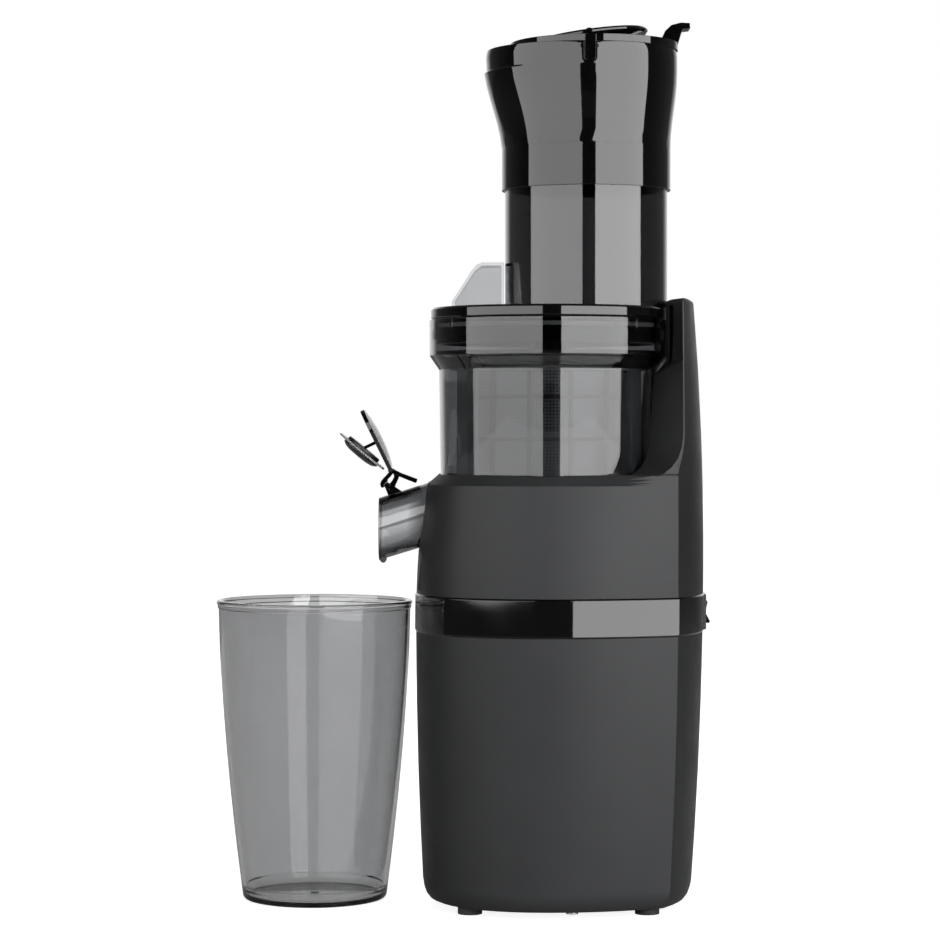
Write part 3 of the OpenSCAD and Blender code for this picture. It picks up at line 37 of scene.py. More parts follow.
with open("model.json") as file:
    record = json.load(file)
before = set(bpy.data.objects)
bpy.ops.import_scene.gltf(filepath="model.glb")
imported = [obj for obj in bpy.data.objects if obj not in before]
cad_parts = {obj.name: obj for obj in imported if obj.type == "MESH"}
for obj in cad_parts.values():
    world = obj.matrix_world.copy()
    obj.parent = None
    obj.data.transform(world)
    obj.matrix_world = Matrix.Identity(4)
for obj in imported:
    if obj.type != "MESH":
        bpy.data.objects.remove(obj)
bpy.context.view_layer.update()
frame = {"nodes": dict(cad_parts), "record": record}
SLOT_OF = {part["node"]: part["material_slot"] for part in frame["record"]["subparts"]}
BODY_OF = {node: body for body, nodes in frame["record"]["behaviour"]["bodies"].items() for node in nodes}


# ---- Shader helpers ----
# Sockets of a colour's Mix node, which also has sockets of the same names for numbers and vectors
MIX_INPUTS = (0, 6, 7)
MIX_RESULT = 2


class Nodes:
    """A node tree, with short calls to add and link nodes."""

    def __init__(self, tree, space):
        self.tree = tree
        self.place = self.add("ShaderNodeTexCoord").outputs[space]

    def add(self, kind, **settings):
        node = self.tree.nodes.new(kind)
        for key, value in settings.items():
            setattr(node, key, value)
        return node

    def feed(self, socket, value):
        """Gives a socket a colour, a number or another node's output."""
        if isinstance(value, tuple):
            socket.default_value = (*value, 1.0)
        elif isinstance(value, (int, float)):
            socket.default_value = value
        else:
            self.tree.links.new(value, socket)

    def spread(self, value, low, high, start=0.3, end=0.7):
        """Maps value from start..end to low..high."""
        node = self.add("ShaderNodeMapRange")
        for name, number in (("From Min", start), ("From Max", end), ("To Min", low), ("To Max", high)):
            self.feed(node.inputs[name], number)
        self.feed(node.inputs["Value"], value)
        return node.outputs["Result"]

    def math(self, operation, *values):
        node = self.add("ShaderNodeMath", operation=operation)
        for socket, value in zip(node.inputs, values):
            self.feed(socket, value)
        return node.outputs[0]

    def mix(self, share, first, second):
        """A colour between first and second."""
        node = self.add("ShaderNodeMix", data_type="RGBA")
        for index, value in zip(MIX_INPUTS, (share, first, second)):
            self.feed(node.inputs[index], value)
        return node.outputs[MIX_RESULT]

    def ramp(self, value, stops):
        """A number that follows the (position, number) stops."""
        node = self.add("ShaderNodeValToRGB")
        elements = node.color_ramp.elements
        while len(elements) < len(stops):
            elements.new(0.5)
        for element, (position, number) in zip(elements, stops):
            element.position = position
            element.color = (number, number, number, 1)
        self.feed(node.inputs["Fac"], value)
        return node.outputs["Color"]

    def split(self):
        """The X, Y and Z of the place that is shaded."""
        node = self.add("ShaderNodeSeparateXYZ")
        self.feed(node.inputs[0], self.place)
        return node.outputs["X"], node.outputs["Y"], node.outputs["Z"]


class Look(Nodes):
    """A new material. Its places are in the object's own space, in metres."""

    def __init__(self, name):
        self.material = bpy.data.materials.new(name)
        self.material.use_nodes = True
        super().__init__(self.material.node_tree, "Object")
        self.shader = self.tree.nodes["Principled BSDF"]
        self.output = self.tree.nodes["Material Output"]

    def give(self, name, value):
        """Sets or links an input of the material's shader."""
        self.feed(self.shader.inputs[name], value)

    def noise(self, scale, detail=3.0, stretch=(1, 1, 1)):
        """Noise from 0 to 1; scale is per metre."""
        mapping = self.add("ShaderNodeMapping")
        mapping.inputs["Scale"].default_value = stretch
        self.feed(mapping.inputs["Vector"], self.place)
        node = self.add("ShaderNodeTexNoise")
        self.feed(node.inputs["Scale"], scale)
        self.feed(node.inputs["Detail"], detail)
        self.feed(node.inputs["Vector"], mapping.outputs["Vector"])
        return node.outputs["Fac"]

    def bump(self, height, strength, distance, under=None):
        """A normal for the height map, over the normal under it where one is given."""
        node = self.add("ShaderNodeBump")
        self.feed(node.inputs["Strength"], strength)
        self.feed(node.inputs["Distance"], distance)
        self.feed(node.inputs["Height"], height)
        if under is not None:
            self.feed(node.inputs["Normal"], under)
        return node.outputs["Normal"]

    def soft_edges(self, radius):
        node = self.add("ShaderNodeBevel", samples=4)
        self.feed(node.inputs["Radius"], radius)
        return node.outputs["Normal"]


def shade(colour, share):
    return tuple(min(1.0, c * share) for c in colour)


# ---- Looks ----
# Sizes of the patterns, as noise scales per metre
WEAR_SCALE = 14.0              # slow change of colour
HANDLED_SCALE = 55.0           # patches that are shinier or duller
SWIRL_SCALE = 9.0              # swirls in clear plastic
GLOSS_SCALE = 30.0             # uneven gloss of clear plastic
WAVE_SCALE = 24.0              # moulding waves of clear plastic
# Depths of the patterns that bump the surface
GRAIN_DEPTH = 0.12 * MM
WAVE_DEPTH = 0.4 * MM
HOLE_DEPTH = 0.3 * MM
TRACK_DEPTH = 0.1 * MM

STRAINER_R = 38.0 * MM         # where the strainer's holes have their true size
HOLE_SCALE = 620.0             # holes per metre
HOLE_EDGE = (0.26, 0.34)       # a hole's edge, as shares of a cell
TRACK_SCALE = 160.0            # copper tracks per metre

SPOUT_MOUTH_Y = -84.5 * MM     # where the spout's mouth is cut off upright
SPOUT_MOUTH_Z = 186.5 * MM     # height of the spout's axis there
SPOUT_SLOPE = math.tan(math.radians(17))
SPOUT_HALF_H = 15.0 * MM       # how far the tints reach above and below the axis
SPOUT_BLEND = (14.0 * MM, 22.0 * MM)   # from the mouth, where the spout's tint gives way to the bowl's
SPOUT_LIP = (0.5 * MM, 1.4 * MM)       # from the mouth, where its dark cut edge fades
SPOUT_SEAM = (0.2 * MM, 0.5 * MM)      # from the axis, the moulding line's core and its outer edge
# The spout's tint from its underside to its top: pale in the middle, with painted shade that darkens it
# along both edges
SPOUT_TINTS_AND_EDGE_SHADE = ((0.0, 0.12), (0.07, 0.3), (0.2, 0.66), (0.36, 0.9), (0.55, 1.0), (0.775, 1.0), (0.785, 0.55),
               (0.905, 0.5), (0.92, 0.1), (1.0, 0.06))


def opaque(name, colour, rough, grain=0.15, grain_size=2600.0, metal=0.0, specular=0.5,
           edge=0.0004, wear=0.08, sway=0.05, stretch=(1, 1, 1)):
    """A moulded, painted or metal surface: fine grain, slow colour and gloss variation, soft edges."""
    m = Look(name)
    slow = m.spread(m.noise(WEAR_SCALE, 4.0), 0.0, 1.0)
    m.give("Base Color", m.mix(slow, shade(colour, 1 - wear), shade(colour, 1 + wear)))
    handled = m.noise(HANDLED_SCALE, 5.0, stretch)
    m.give("Roughness", m.spread(handled, rough - sway, rough + sway))
    m.give("Metallic", metal)
    m.give("Specular IOR Level", specular)
    rounded = m.soft_edges(edge) if edge else None
    m.give("Normal", m.bump(m.noise(grain_size, 2.0, stretch), grain, GRAIN_DEPTH, rounded))
    return m.material


def swirled(m, colour, palest):
    """The colour with slow swirls, from slightly darker to palest times as bright."""
    swirl = m.spread(m.noise(SWIRL_SCALE), 0.0, 1.0)
    return m.mix(swirl, shade(colour, 0.95), shade(colour, palest))


def see_through(m, rough, ior, share):
    """The gloss, faint waves and transmission of a clear moulding."""
    m.give("Roughness", m.spread(m.noise(GLOSS_SCALE, 4.0), rough, rough + 0.02))
    m.give("IOR", ior)
    m.give("Transmission Weight", share)
    m.give("Normal", m.bump(m.noise(WAVE_SCALE, 0.0), 0.02, WAVE_DEPTH))


def clear(name, colour, rough=0.01, ior=1.5, share=1.0, depth=0.0):
    """Clear plastic, plain or smoke. Share is how much of the light enters it. Depth is how much light
    a metre of it takes away, which darkens thick edges."""
    m = Look(name)
    m.give("Base Color", swirled(m, colour, 1.04))
    see_through(m, rough, ior, share)
    if depth:
        inside = m.add("ShaderNodeVolumeAbsorption")
        m.feed(inside.inputs["Color"], (0, 0, 0))
        m.feed(inside.inputs["Density"], depth)
        m.feed(m.output.inputs["Volume"], inside.outputs[0])
    return m.material


def spout_and_bowl(name, bowl, spout):
    """The bowl's smoke tint turns paler along the thinner spout, which has a fine moulding line and painted
    shade along its top and bottom edges.
    """
    m = Look(name)
    _, y, z = m.split()
    inward = m.math("SUBTRACT", y, SPOUT_MOUTH_Y)
    axis = m.math("MULTIPLY", inward, SPOUT_SLOPE)
    height = m.math("SUBTRACT", m.math("SUBTRACT", z, SPOUT_MOUTH_Z), axis)
    seam = m.spread(m.math("ABSOLUTE", height), 1.0, 0.0, *SPOUT_SEAM)
    # painted shade: the spout's colour darkens towards its top and bottom edges, by height off its axis
    edge_shaded_tint = m.ramp(m.spread(height, 0.0, 1.0, -SPOUT_HALF_H, SPOUT_HALF_H), SPOUT_TINTS_AND_EDGE_SHADE)
    lip = m.spread(inward, 0.45, 1.0, *SPOUT_LIP)
    walls = m.mix(m.math("MULTIPLY", edge_shaded_tint, lip), (0.0, 0.0, 0.0), spout)
    lined = m.mix(m.math("MULTIPLY", seam, 0.55), walls, shade(spout, 0.3))
    on_spout = m.spread(inward, 1.0, 0.0, *SPOUT_BLEND)
    m.give("Base Color", m.mix(on_spout, swirled(m, bowl, 1.05), lined))
    see_through(m, rough=0.01, ior=1.5, share=1.0)
    return m.material


def etched_mesh(name, colour):
    """Etched strainer steel: staggered rows of small dark holes, set out round the upright axis."""
    m = Look(name)
    x, y, z = m.split()
    wall = m.add("ShaderNodeCombineXYZ")
    m.feed(wall.inputs["X"], m.math("MULTIPLY", m.math("ARCTAN2", y, x), STRAINER_R))
    m.feed(wall.inputs["Y"], z)
    cells = m.add("ShaderNodeTexVoronoi", voronoi_dimensions="2D")
    m.feed(cells.inputs["Scale"], HOLE_SCALE)
    m.feed(cells.inputs["Randomness"], 0.12)
    m.feed(cells.inputs["Vector"], wall.outputs[0])
    hole = m.spread(cells.outputs["Distance"], 1.0, 0.0, *HOLE_EDGE)
    m.give("Base Color", m.mix(hole, colour, shade(colour, 0.08)))
    m.give("Metallic", m.spread(hole, 1.0, 0.0, 0.0, 1.0))
    m.give("Roughness", 0.32)
    m.give("Normal", m.bump(hole, -0.6, HOLE_DEPTH))
    return m.material


def circuit(name, colour):
    """A circuit board: solder mask with paler copper tracks under it."""
    m = Look(name)
    tracks = m.add("ShaderNodeTexBrick")
    m.feed(tracks.inputs["Scale"], TRACK_SCALE)
    m.feed(tracks.inputs["Mortar Size"], 0.06)
    m.feed(tracks.inputs["Vector"], m.place)
    m.give("Base Color", m.mix(tracks.outputs["Fac"], colour, shade(colour, 1.9)))
    m.give("Roughness", 0.35)
    m.give("Normal", m.bump(tracks.outputs["Fac"], 0.3, TRACK_DEPTH))
    return m.material


# One look for each material slot
LOOKS = {
    "housing": opaque("soft_touch_grey", (0.047, 0.048, 0.05), 0.42, grain=0.2, specular=0.16, wear=0.05),
    "matte_black": opaque("grained_black", (0.02, 0.02, 0.021), 0.42, grain=0.3),
    "gloss_black": opaque("piano_black", (0.004, 0.004, 0.0045), 0.035, grain=0.01, specular=0.6,
                          sway=0.015),
    "rubber_black": opaque("foot_rubber", (0.022, 0.022, 0.022), 0.8, grain=0.5, edge=0.0006),
    "steel": opaque("turned_steel", (0.60, 0.61, 0.63), 0.24, 0.12, 1500.0, metal=1.0, stretch=(1, 1, 14)),
    "aluminium": opaque("cast_aluminium", (0.56, 0.57, 0.59), 0.45, 0.5, 900.0, metal=1.0),
    "copper": opaque("enamelled_copper", (0.55, 0.24, 0.11), 0.3, 0.6, 1400.0, metal=1.0,
                     stretch=(1, 1, 6)),
    "brass": opaque("machined_brass", (0.70, 0.53, 0.26), 0.26, 0.1, 1500.0, metal=1.0),
    "grey_plastic": opaque("grey_plastic", (0.16, 0.17, 0.19), 0.5, grain=0.25),
    "white_plastic": opaque("white_acetal", (0.78, 0.77, 0.73), 0.38, grain=0.1),
    "circuit_board": circuit("solder_mask", (0.03, 0.15, 0.06)),
    "smoke_clear": clear("smoke_clear", (0.27, 0.273, 0.28)),
    "smoke_pale": clear("smoke_pale", (0.74, 0.745, 0.755)),
    "silicone_grey": opaque("silicone_grey", (0.42, 0.43, 0.44), 0.45, grain=0.12, edge=0.0006),
    "silicone_black": opaque("silicone_black", (0.014, 0.014, 0.015), 0.36, grain=0.02, edge=0.0),
    "mesh_steel": etched_mesh("etched_steel", (0.2, 0.205, 0.215)),
    "auger_resin": opaque("auger_resin", (0.03, 0.031, 0.034), 0.34, grain=0.12),
    "wiper_plastic": opaque("wiper_plastic", (0.36, 0.37, 0.38), 0.4, grain=0.15),
}
# Nodes that look different from the rest of their slot
OWN_LOOKS = {
    "bowl": spout_and_bowl("smoke_bowl", (0.27, 0.273, 0.28), (0.63, 0.635, 0.645)),
    "feed_tube": clear("smoke_tube", (0.13, 0.13, 0.135), ior=1.62),
    "juice_cup": clear("smoke_cup", (0.68, 0.684, 0.69), ior=1.56, depth=130.0),
    "rear_shell": opaque("soft_touch_dark", (0.019, 0.0195, 0.0205), 0.4, grain=0.2, specular=0.2,
                         wear=0.05),
}
# Single pieces that look different from the rest of their node
FLANGE_LOOK = clear("silicone_pale", (0.86, 0.86, 0.86), rough=0.3, ior=1.41, share=0.5)
# A painted highlight: the pale pad stands for a reflection on the lever's rear face
CROWN_HIGHLIGHT_LOOK = opaque("lever_painted_highlight", (0.62, 0.62, 0.63), 0.2, grain=0.03, edge=0.0)


# ---- Pieces ----
def dress(piece, node, look=None):
    """The piece stands for the CAD node: same body, same material slot."""
    slot = SLOT_OF[node]
    piece.data.materials.clear()
    piece.data.materials.append(look or OWN_LOOKS.get(node, LOOKS[slot]))
    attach(piece, BODY_OF[node])
    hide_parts(node)


def soften(mesh):
    """Smooth shading, with sharp edges kept and doubled points welded."""
    work = bmesh.new()
    work.from_mesh(mesh)
    bmesh.ops.remove_doubles(work, verts=work.verts, dist=WELD)
    bmesh.ops.dissolve_degenerate(work, edges=work.edges, dist=WELD)
    bmesh.ops.recalc_face_normals(work, faces=work.faces)
    for face in work.faces:
        face.smooth = True
    for edge in work.edges:
        edge.smooth = len(edge.link_faces) == 2 and edge.calc_face_angle(0.0) < SHARP
    work.to_mesh(mesh)
    work.free()


def add_object(name, points, faces):
    """A new smooth-shaded object from points in metres."""
    mesh = bpy.data.meshes.new(name)
    mesh.from_pydata(points, [], faces)
    soften(mesh)
    piece = bpy.data.objects.new(name, mesh)
    bpy.context.scene.collection.objects.link(piece)
    return piece


def add_mesh(name, points, faces):
    """A new smooth-shaded object from points in millimetres."""
    return add_object(name, [Vector(p) * MM for p in points], faces)


HOPPER_Y = 19.0 * MM           # the hopper's axis
HOPPER_FLARE_Z = 376.0 * MM    # where its flare leaves its skirt
HOPPER_SKIRT_R = 42.1 * MM
HOPPER_STEP = 1.1 * MM         # the solid's step lies within this height of the flare's start
HOPPER_RIM_Z = 424.7 * MM
HOPPER_RIM_H = 4.0             # in millimetres, how far below the rim its squarer edge starts
HOPPER_RIM_CURVE = 0.125       # millimetres outwards for each square millimetre of height
HOPPER_MOUTH_R = 38.5 * MM
HOPPER_WALL = 0.6 * MM         # less than the wall, to tell its faces apart


def fuller_hopper(p):
    """The hopper's flare leaves its skirt without a step, and its rim is nearly square."""
    off = Vector((p.x, p.y - HOPPER_Y, 0))
    reach = off.length
    if abs(p.z - HOPPER_FLARE_Z) < HOPPER_STEP and reach > HOPPER_SKIRT_R - HOPPER_WALL:
        off *= HOPPER_SKIRT_R / reach
        return Vector((off.x, off.y + HOPPER_Y, HOPPER_FLARE_Z))
    rise = (p.z - HOPPER_RIM_Z) / MM + HOPPER_RIM_H
    past = reach - HOPPER_MOUTH_R - HOPPER_WALL
    if rise > 0.1 and past > 0:
        share = min(1.0, past / HOPPER_WALL)
        off *= (reach + HOPPER_RIM_CURVE * rise ** 2 * share * MM) / reach
        return Vector((off.x, off.y + HOPPER_Y, p.z))
    return p


def smooth_copy(node):
    """A copy of the CAD node's mesh with its facets shaded as the curves that they stand for."""
    source = frame["nodes"][node].data
    points = [v.co for v in source.vertices]
    if node == "hopper":
        points = [fuller_hopper(p) for p in points]
    piece = add_object(node + "_skin", points, [tuple(p.vertices) for p in source.polygons])
    weigh = piece.modifiers.new("faces lead the shading", "WEIGHTED_NORMAL")
    weigh.keep_sharp = True
    weigh.mode = "FACE_AREA_WITH_ANGLE"
    return piece


def turned(name, profile, place, steps):
    """A solid of revolution: profile is (radius, height) pairs from axis to axis, and place maps local
    millimetres to the row frame."""
    points, faces = [], []
    inner = profile[1:-1]
    for radius, height in inner:
        for k in range(steps):
            turn = 2 * math.pi * k / steps
            points.append(place(Vector((radius * math.cos(turn), radius * math.sin(turn), height))))
    for row in range(len(inner) - 1):
        for k in range(steps):
            a, b = row * steps + k, row * steps + (k + 1) % steps
            faces.append((a, b, b + steps, a + steps))
    for row, (_, height) in ((0, profile[0]), (len(inner) - 1, profile[-1])):
        centre = len(points)
        points.append(place(Vector((0, 0, height))))
        faces += [(centre, row * steps + k, row * steps + (k + 1) % steps) for k in range(steps)]
    return add_mesh(name, points, faces)


def arc(centre, radius, start, end, steps):
    """Points along a rounding, from start to end in degrees."""
    turns = [math.radians(start + (end - start) * k / steps) for k in range(steps + 1)]
    return [(centre[0] + radius * math.cos(t), centre[1] + radius * math.sin(t)) for t in turns]


# ---- Juice cup: flared wall, rolled bead with a ledge under it, foot ring, gate nub and pour lip ----
CUP_FOOT_R = 36.0              # all in millimetres
CUP_FLARE = 12.3
CUP_H = 150.5
CUP_WALL = 2.0
CUP_FLOOR = 2.4
CUP_UNDERSIDE = 0.7            # the underside stands clear of the table by this much
CUP_RING_IN = 4.4              # the foot ring's inner and outer edges, in from the foot's radius
CUP_RING_OUT = 2.4
CUP_HEEL_R = 2.6
CUP_CORNER_R = 4.5
CUP_LEDGE = 0.5                # how far the ledge under the bead stands out
CUP_LEDGE_LOW = 4.2            # below the rim, where the ledge starts and ends
CUP_LEDGE_HIGH = 2.6
CUP_BEAD_R = 1.1
CUP_LIP_R = 0.8
CUP_NUB_R = 2.2
CUP_NUB_H = 0.6
CUP_STEPS = 40                 # rings up the wall
CUP_SEGMENTS = 128
POUR_SIDE = 0.9                # cosine of the pour lip's half angle
POUR_H = 14.0
POUR_REACH = 0.035             # how far the lip is drawn out, as a share of the rim's radius


def cup_radius(share):
    """The wall's outer radius at a share of the cup's height."""
    return CUP_FOOT_R + CUP_FLARE * (1 - (1 - share) ** 1.65)


def pour_lip(p):
    """Draws the rim out a little on the cup's -X side."""
    near = max(0.0, -p.x / max(1e-6, math.hypot(p.x, p.y)) - POUR_SIDE) / (1 - POUR_SIDE)
    high = max(0.0, (p.z - CUP_H + POUR_H) / POUR_H)
    grow = 1 + POUR_REACH * near ** 2 * high ** 2
    return Vector((p.x * grow, p.y * grow, p.z))


def cup_outside(shares):
    """From the underside's centre over the foot ring, up the wall and over the ledge and bead."""
    foot = [(0, CUP_UNDERSIDE), (CUP_FOOT_R - CUP_RING_IN, CUP_UNDERSIDE),
            (CUP_FOOT_R - CUP_RING_IN + 0.4, 0.05), (CUP_FOOT_R - CUP_RING_OUT, 0.0)]
    heel = arc((CUP_FOOT_R - CUP_RING_OUT + 0.2, CUP_HEEL_R), CUP_HEEL_R, -85, -5, 5)
    wall = [(cup_radius(s), CUP_H * s) for s in shares if CUP_H * s < CUP_H - CUP_LEDGE_LOW - 0.8]
    ledge = [(cup_radius(0.975) + 0.05, CUP_H - CUP_LEDGE_LOW),
             (cup_radius(0.98) + CUP_LEDGE, CUP_H - CUP_LEDGE_LOW + 0.4),
             (cup_radius(0.985) + CUP_LEDGE, CUP_H - CUP_LEDGE_HIGH)]
    bead = arc((CUP_FOOT_R + CUP_FLARE, CUP_H - CUP_BEAD_R), CUP_BEAD_R, -60, 90, 8)
    return foot + heel + wall + ledge + bead


def cup_inside(shares):
    """From the rim's inner rounding down the wall and over the floor to the gate nub."""
    rim_at = (CUP_FOOT_R + CUP_FLARE - CUP_WALL + CUP_LIP_R, CUP_H - CUP_LIP_R)
    rim = arc(rim_at, CUP_LIP_R, 90, 180, 4)
    wall = [(cup_radius(s) - CUP_WALL, CUP_H * s) for s in reversed(shares)
            if CUP_FLOOR + CUP_CORNER_R + 0.5 < CUP_H * s < CUP_H - CUP_LIP_R - 1.2]
    corner_at = (CUP_FOOT_R - CUP_WALL - CUP_CORNER_R, CUP_FLOOR + CUP_CORNER_R)
    corner = arc(corner_at, CUP_CORNER_R, 0, -90, 6)
    nub = [(CUP_NUB_R, CUP_FLOOR), (CUP_NUB_R - 0.4, CUP_FLOOR + CUP_NUB_H - 0.1),
           (0, CUP_FLOOR + CUP_NUB_H)]
    return rim + wall + corner + nub


def make_cup():
    low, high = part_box("juice_cup")
    axis = (low + high) / 2 / MM
    axis.z = 0
    shares = [k / CUP_STEPS for k in range(2, CUP_STEPS + 1)]
    profile = cup_outside(shares) + cup_inside(shares)
    dress(turned("cup_wall", profile, lambda p: pour_lip(p) + axis, CUP_SEGMENTS), "juice_cup")


# ---- Spout stopper: pale flange between a black back disc and a crowned black slab ----
# All in millimetres; the cap's other places are from its pin
CAP_PIN = Vector((0, -80.25, 208.385))
PLUG_AT = Vector((0, -12.3, 17.5))
PLUG_AXIS = math.radians(230.5)
PLUG_SEGMENTS = 72
FLANGE_LOW = 0.2               # heights of the flange's two faces along the stopper's axis
FLANGE_HIGH = 1.1
FLANGE_R = 13.9


def plug_place(p):
    """Local millimetres, with the height along the stopper's axis, to the row frame."""
    out = Vector((0, math.cos(PLUG_AXIS), math.sin(PLUG_AXIS)))
    side = Vector((0, -math.sin(PLUG_AXIS), math.cos(PLUG_AXIS)))
    return CAP_PIN + PLUG_AT + Vector((1, 0, 0)) * p.x + side * p.y + out * p.z


def make_plug():
    """Three turned pieces; their profiles are (radius, height) pairs."""
    edge_r = (FLANGE_HIGH - FLANGE_LOW) / 2
    slab = ([(0, FLANGE_HIGH), (10.4, FLANGE_HIGH)] + arc((10.0, 1.7), 0.5, -60, 60, 5)
            + [(9.2, 2.9), (7.8, 3.5), (5.4, 3.85), (2.6, 3.98), (0, 4.0)])
    back = ([(0, -1.6)] + arc((9.0, -1.0), 0.6, -90, 0, 4)
            + [(9.6, -0.05), (9.4, FLANGE_LOW), (0, FLANGE_LOW)])
    flange = ([(0, FLANGE_LOW), (FLANGE_R, FLANGE_LOW)]
              + arc((FLANGE_R, FLANGE_LOW + edge_r), edge_r, -90, 90, 6)
              + [(10.6, FLANGE_HIGH), (0, FLANGE_HIGH)])
    for name, profile, look in (("stopper_slab", slab, None), ("stopper_back", back, None),
                                ("stopper_flange", flange, FLANGE_LOOK)):
        dress(turned(name, profile, plug_place, PLUG_SEGMENTS), "spout_plug", look)


# ---- Spout cap lever: plate, thumb tail, stem and two snap clips, with a pale crowned pad that is a painted highlight ----
LEVER_ANGLE = math.radians(116)
LEVER_ALONG = Vector((0, math.cos(LEVER_ANGLE), math.sin(LEVER_ANGLE)))
LEVER_BACK = Vector((0, math.sin(LEVER_ANGLE), -math.cos(LEVER_ANGLE)))
LEVER_FOOT = Vector((0, 1.65, 7.85))
LEVER_LENGTH = 33.0
LEVER_R = 11.0                 # rounding of the plate's far end
LEVER_FOOT_HALF = 8.0          # half the plate's width at its foot
LEVER_HEEL = -1.0              # how far along the plate starts
LEVER_HALF_T = 1.0             # half the plate's thickness
TAIL_WIDTH = 16.0
STEM_START = 15.5              # how far along the lever the stem leaves it
STEM_END = Vector((0, 1.6, 1.6))   # where it meets the stopper's back disc, from the stopper's middle
STEM_SINK = 1.1                # how far it reaches into the disc
STEM_HALF_T = 0.8
STEM_WIDTH = 3.0
CLIP_X = 4.3                   # the clips' middles lie this far to either side
CLIP_WIDTH = 3.0
PIN_BORE_R = 1.62
# Outlines in the cap's side plane, as (y, z) from the pin
TAIL = [(0.25, 7.05), (3.6, 5.6), (6.65, 4.25), (10.5, 2.65), (14.25, 1.25), (14.75, 1.95), (15.05, 3.25),
        (11.0, 4.8), (7.05, 6.25), (4.2, 7.7), (1.25, 9.45)]
HOOK = ([(-3.0, -1.0), (-3.6, 0.6), (-3.2, 2.0), (-2.0, 3.6), (-0.4, 5.2), (0.9, 6.8), (1.7, 8.4),
         (3.6, 8.0), (2.7, 5.9), (1.5, 4.3), (0.2, 3.1)]
        + arc((0, 0), PIN_BORE_R, 88, 196, 10) + [(-2.1, -1.2)])
LEG = ([(2.6, 8.2), (4.8, 7.2), (6.2, 5.4), (5.2, 2.8), (4.0, 0.2), (3.0, -2.9), (0.9, -2.9)]
       + arc((0, 0), PIN_BORE_R, -62, 40, 8) + [(2.5, 2.5), (3.4, 4.4), (3.0, 6.2)])


def lever_point(across, along, lift):
    """A point at its distances from the middle of the lever's foot; lift is off the plate's middle."""
    return CAP_PIN + LEVER_FOOT + Vector((across, 0, 0)) + LEVER_ALONG * along + LEVER_BACK * lift


def slab_faces(count):
    """The two ends and the sides of a slab, from an outline of count points that is given twice."""
    sides = [(k, count + k, count + (k + 1) % count, (k + 1) % count) for k in range(count)]
    return [tuple(range(count)), tuple(range(2 * count - 1, count - 1, -1))] + sides


def prism(name, outline, middle, width):
    """An outline in the cap's side plane, given a width across it."""
    points = [CAP_PIN + Vector((middle + side * width / 2, y, z)) for side in (-1, 1) for y, z in outline]
    return add_mesh(name, points, slab_faces(len(outline)))


def make_plate():
    round_at = LEVER_LENGTH - LEVER_R
    end = [(x, round_at + y) for x, y in arc((0, 0), LEVER_R, -8, 188, 36)]
    edge = [(LEVER_FOOT_HALF, LEVER_HEEL)] + end + [(-LEVER_FOOT_HALF, LEVER_HEEL)]
    points = [lever_point(across, along, side * LEVER_HALF_T)
              for side in (-1, 1) for across, along in edge]
    return add_mesh("lever_plate", points, slab_faces(len(edge)))


def make_stem():
    """A web from the plate to the stopper's back disc, with its tip inside the disc."""
    near = LEVER_FOOT + LEVER_ALONG * STEM_START
    far = PLUG_AT + STEM_END
    run = (far - near).normalized()
    tip = far + run * STEM_SINK
    up = Vector((0, -run.z, run.y)) * STEM_HALF_T
    outline = [(q.y, q.z) for q in (near + up, tip + up, tip - up, near - up)]
    return prism("lever_stem", outline, 0.0, STEM_WIDTH)


def make_lever():
    pieces = [make_plate(), prism("lever_tail", TAIL, 0.0, TAIL_WIDTH), make_stem()]
    for side in (-1, 1):
        pieces.append(prism("lever_hook", HOOK, side * CLIP_X, CLIP_WIDTH))
        pieces.append(prism("lever_leg", LEG, side * CLIP_X, CLIP_WIDTH))
    for piece in pieces:
        dress(piece, "spout_lever")


# The pale pad on the lever is a painted highlight; these constants set out its form
CROWN_ROWS = 20
CROWN_COLUMNS = 16
CROWN_START = 0.03             # where the pad starts, as a share of the lever's length
CROWN_REACH = 0.955            # and how long it is
CROWN_INSET = 0.35             # from the plate's edge
CROWN_LIFT = 1.05              # the pad's edge, off the plate's middle
CROWN_RISE = 2.1
CROWN_SINK = 0.3               # its underside lies inside the plate by about this much


def lever_half(along):
    """Half the lever's width at a distance from its foot."""
    round_at = LEVER_LENGTH - LEVER_R
    straight = LEVER_FOOT_HALF + (LEVER_R - LEVER_FOOT_HALF) * min(1.0, along / round_at)
    past = max(0.0, along - round_at)
    return min(straight, math.sqrt(max(0.0, LEVER_R ** 2 - past ** 2)))


def crown_point(upper, row, column):
    """A point of the pad's crowned upper face, or of its flat underside."""
    along = LEVER_LENGTH * (CROWN_START + CROWN_REACH * row / CROWN_ROWS)
    half = max(0.3, lever_half(along) - CROWN_INSET)
    across = 2 * column / CROWN_COLUMNS - 1
    bulge = (1 - across * across) * math.sin(math.pi * min(1.0, along / LEVER_LENGTH)) ** 0.7
    lift = CROWN_LIFT + CROWN_RISE * bulge if upper else CROWN_LIFT - CROWN_SINK
    return lever_point(across * half, along, lift)


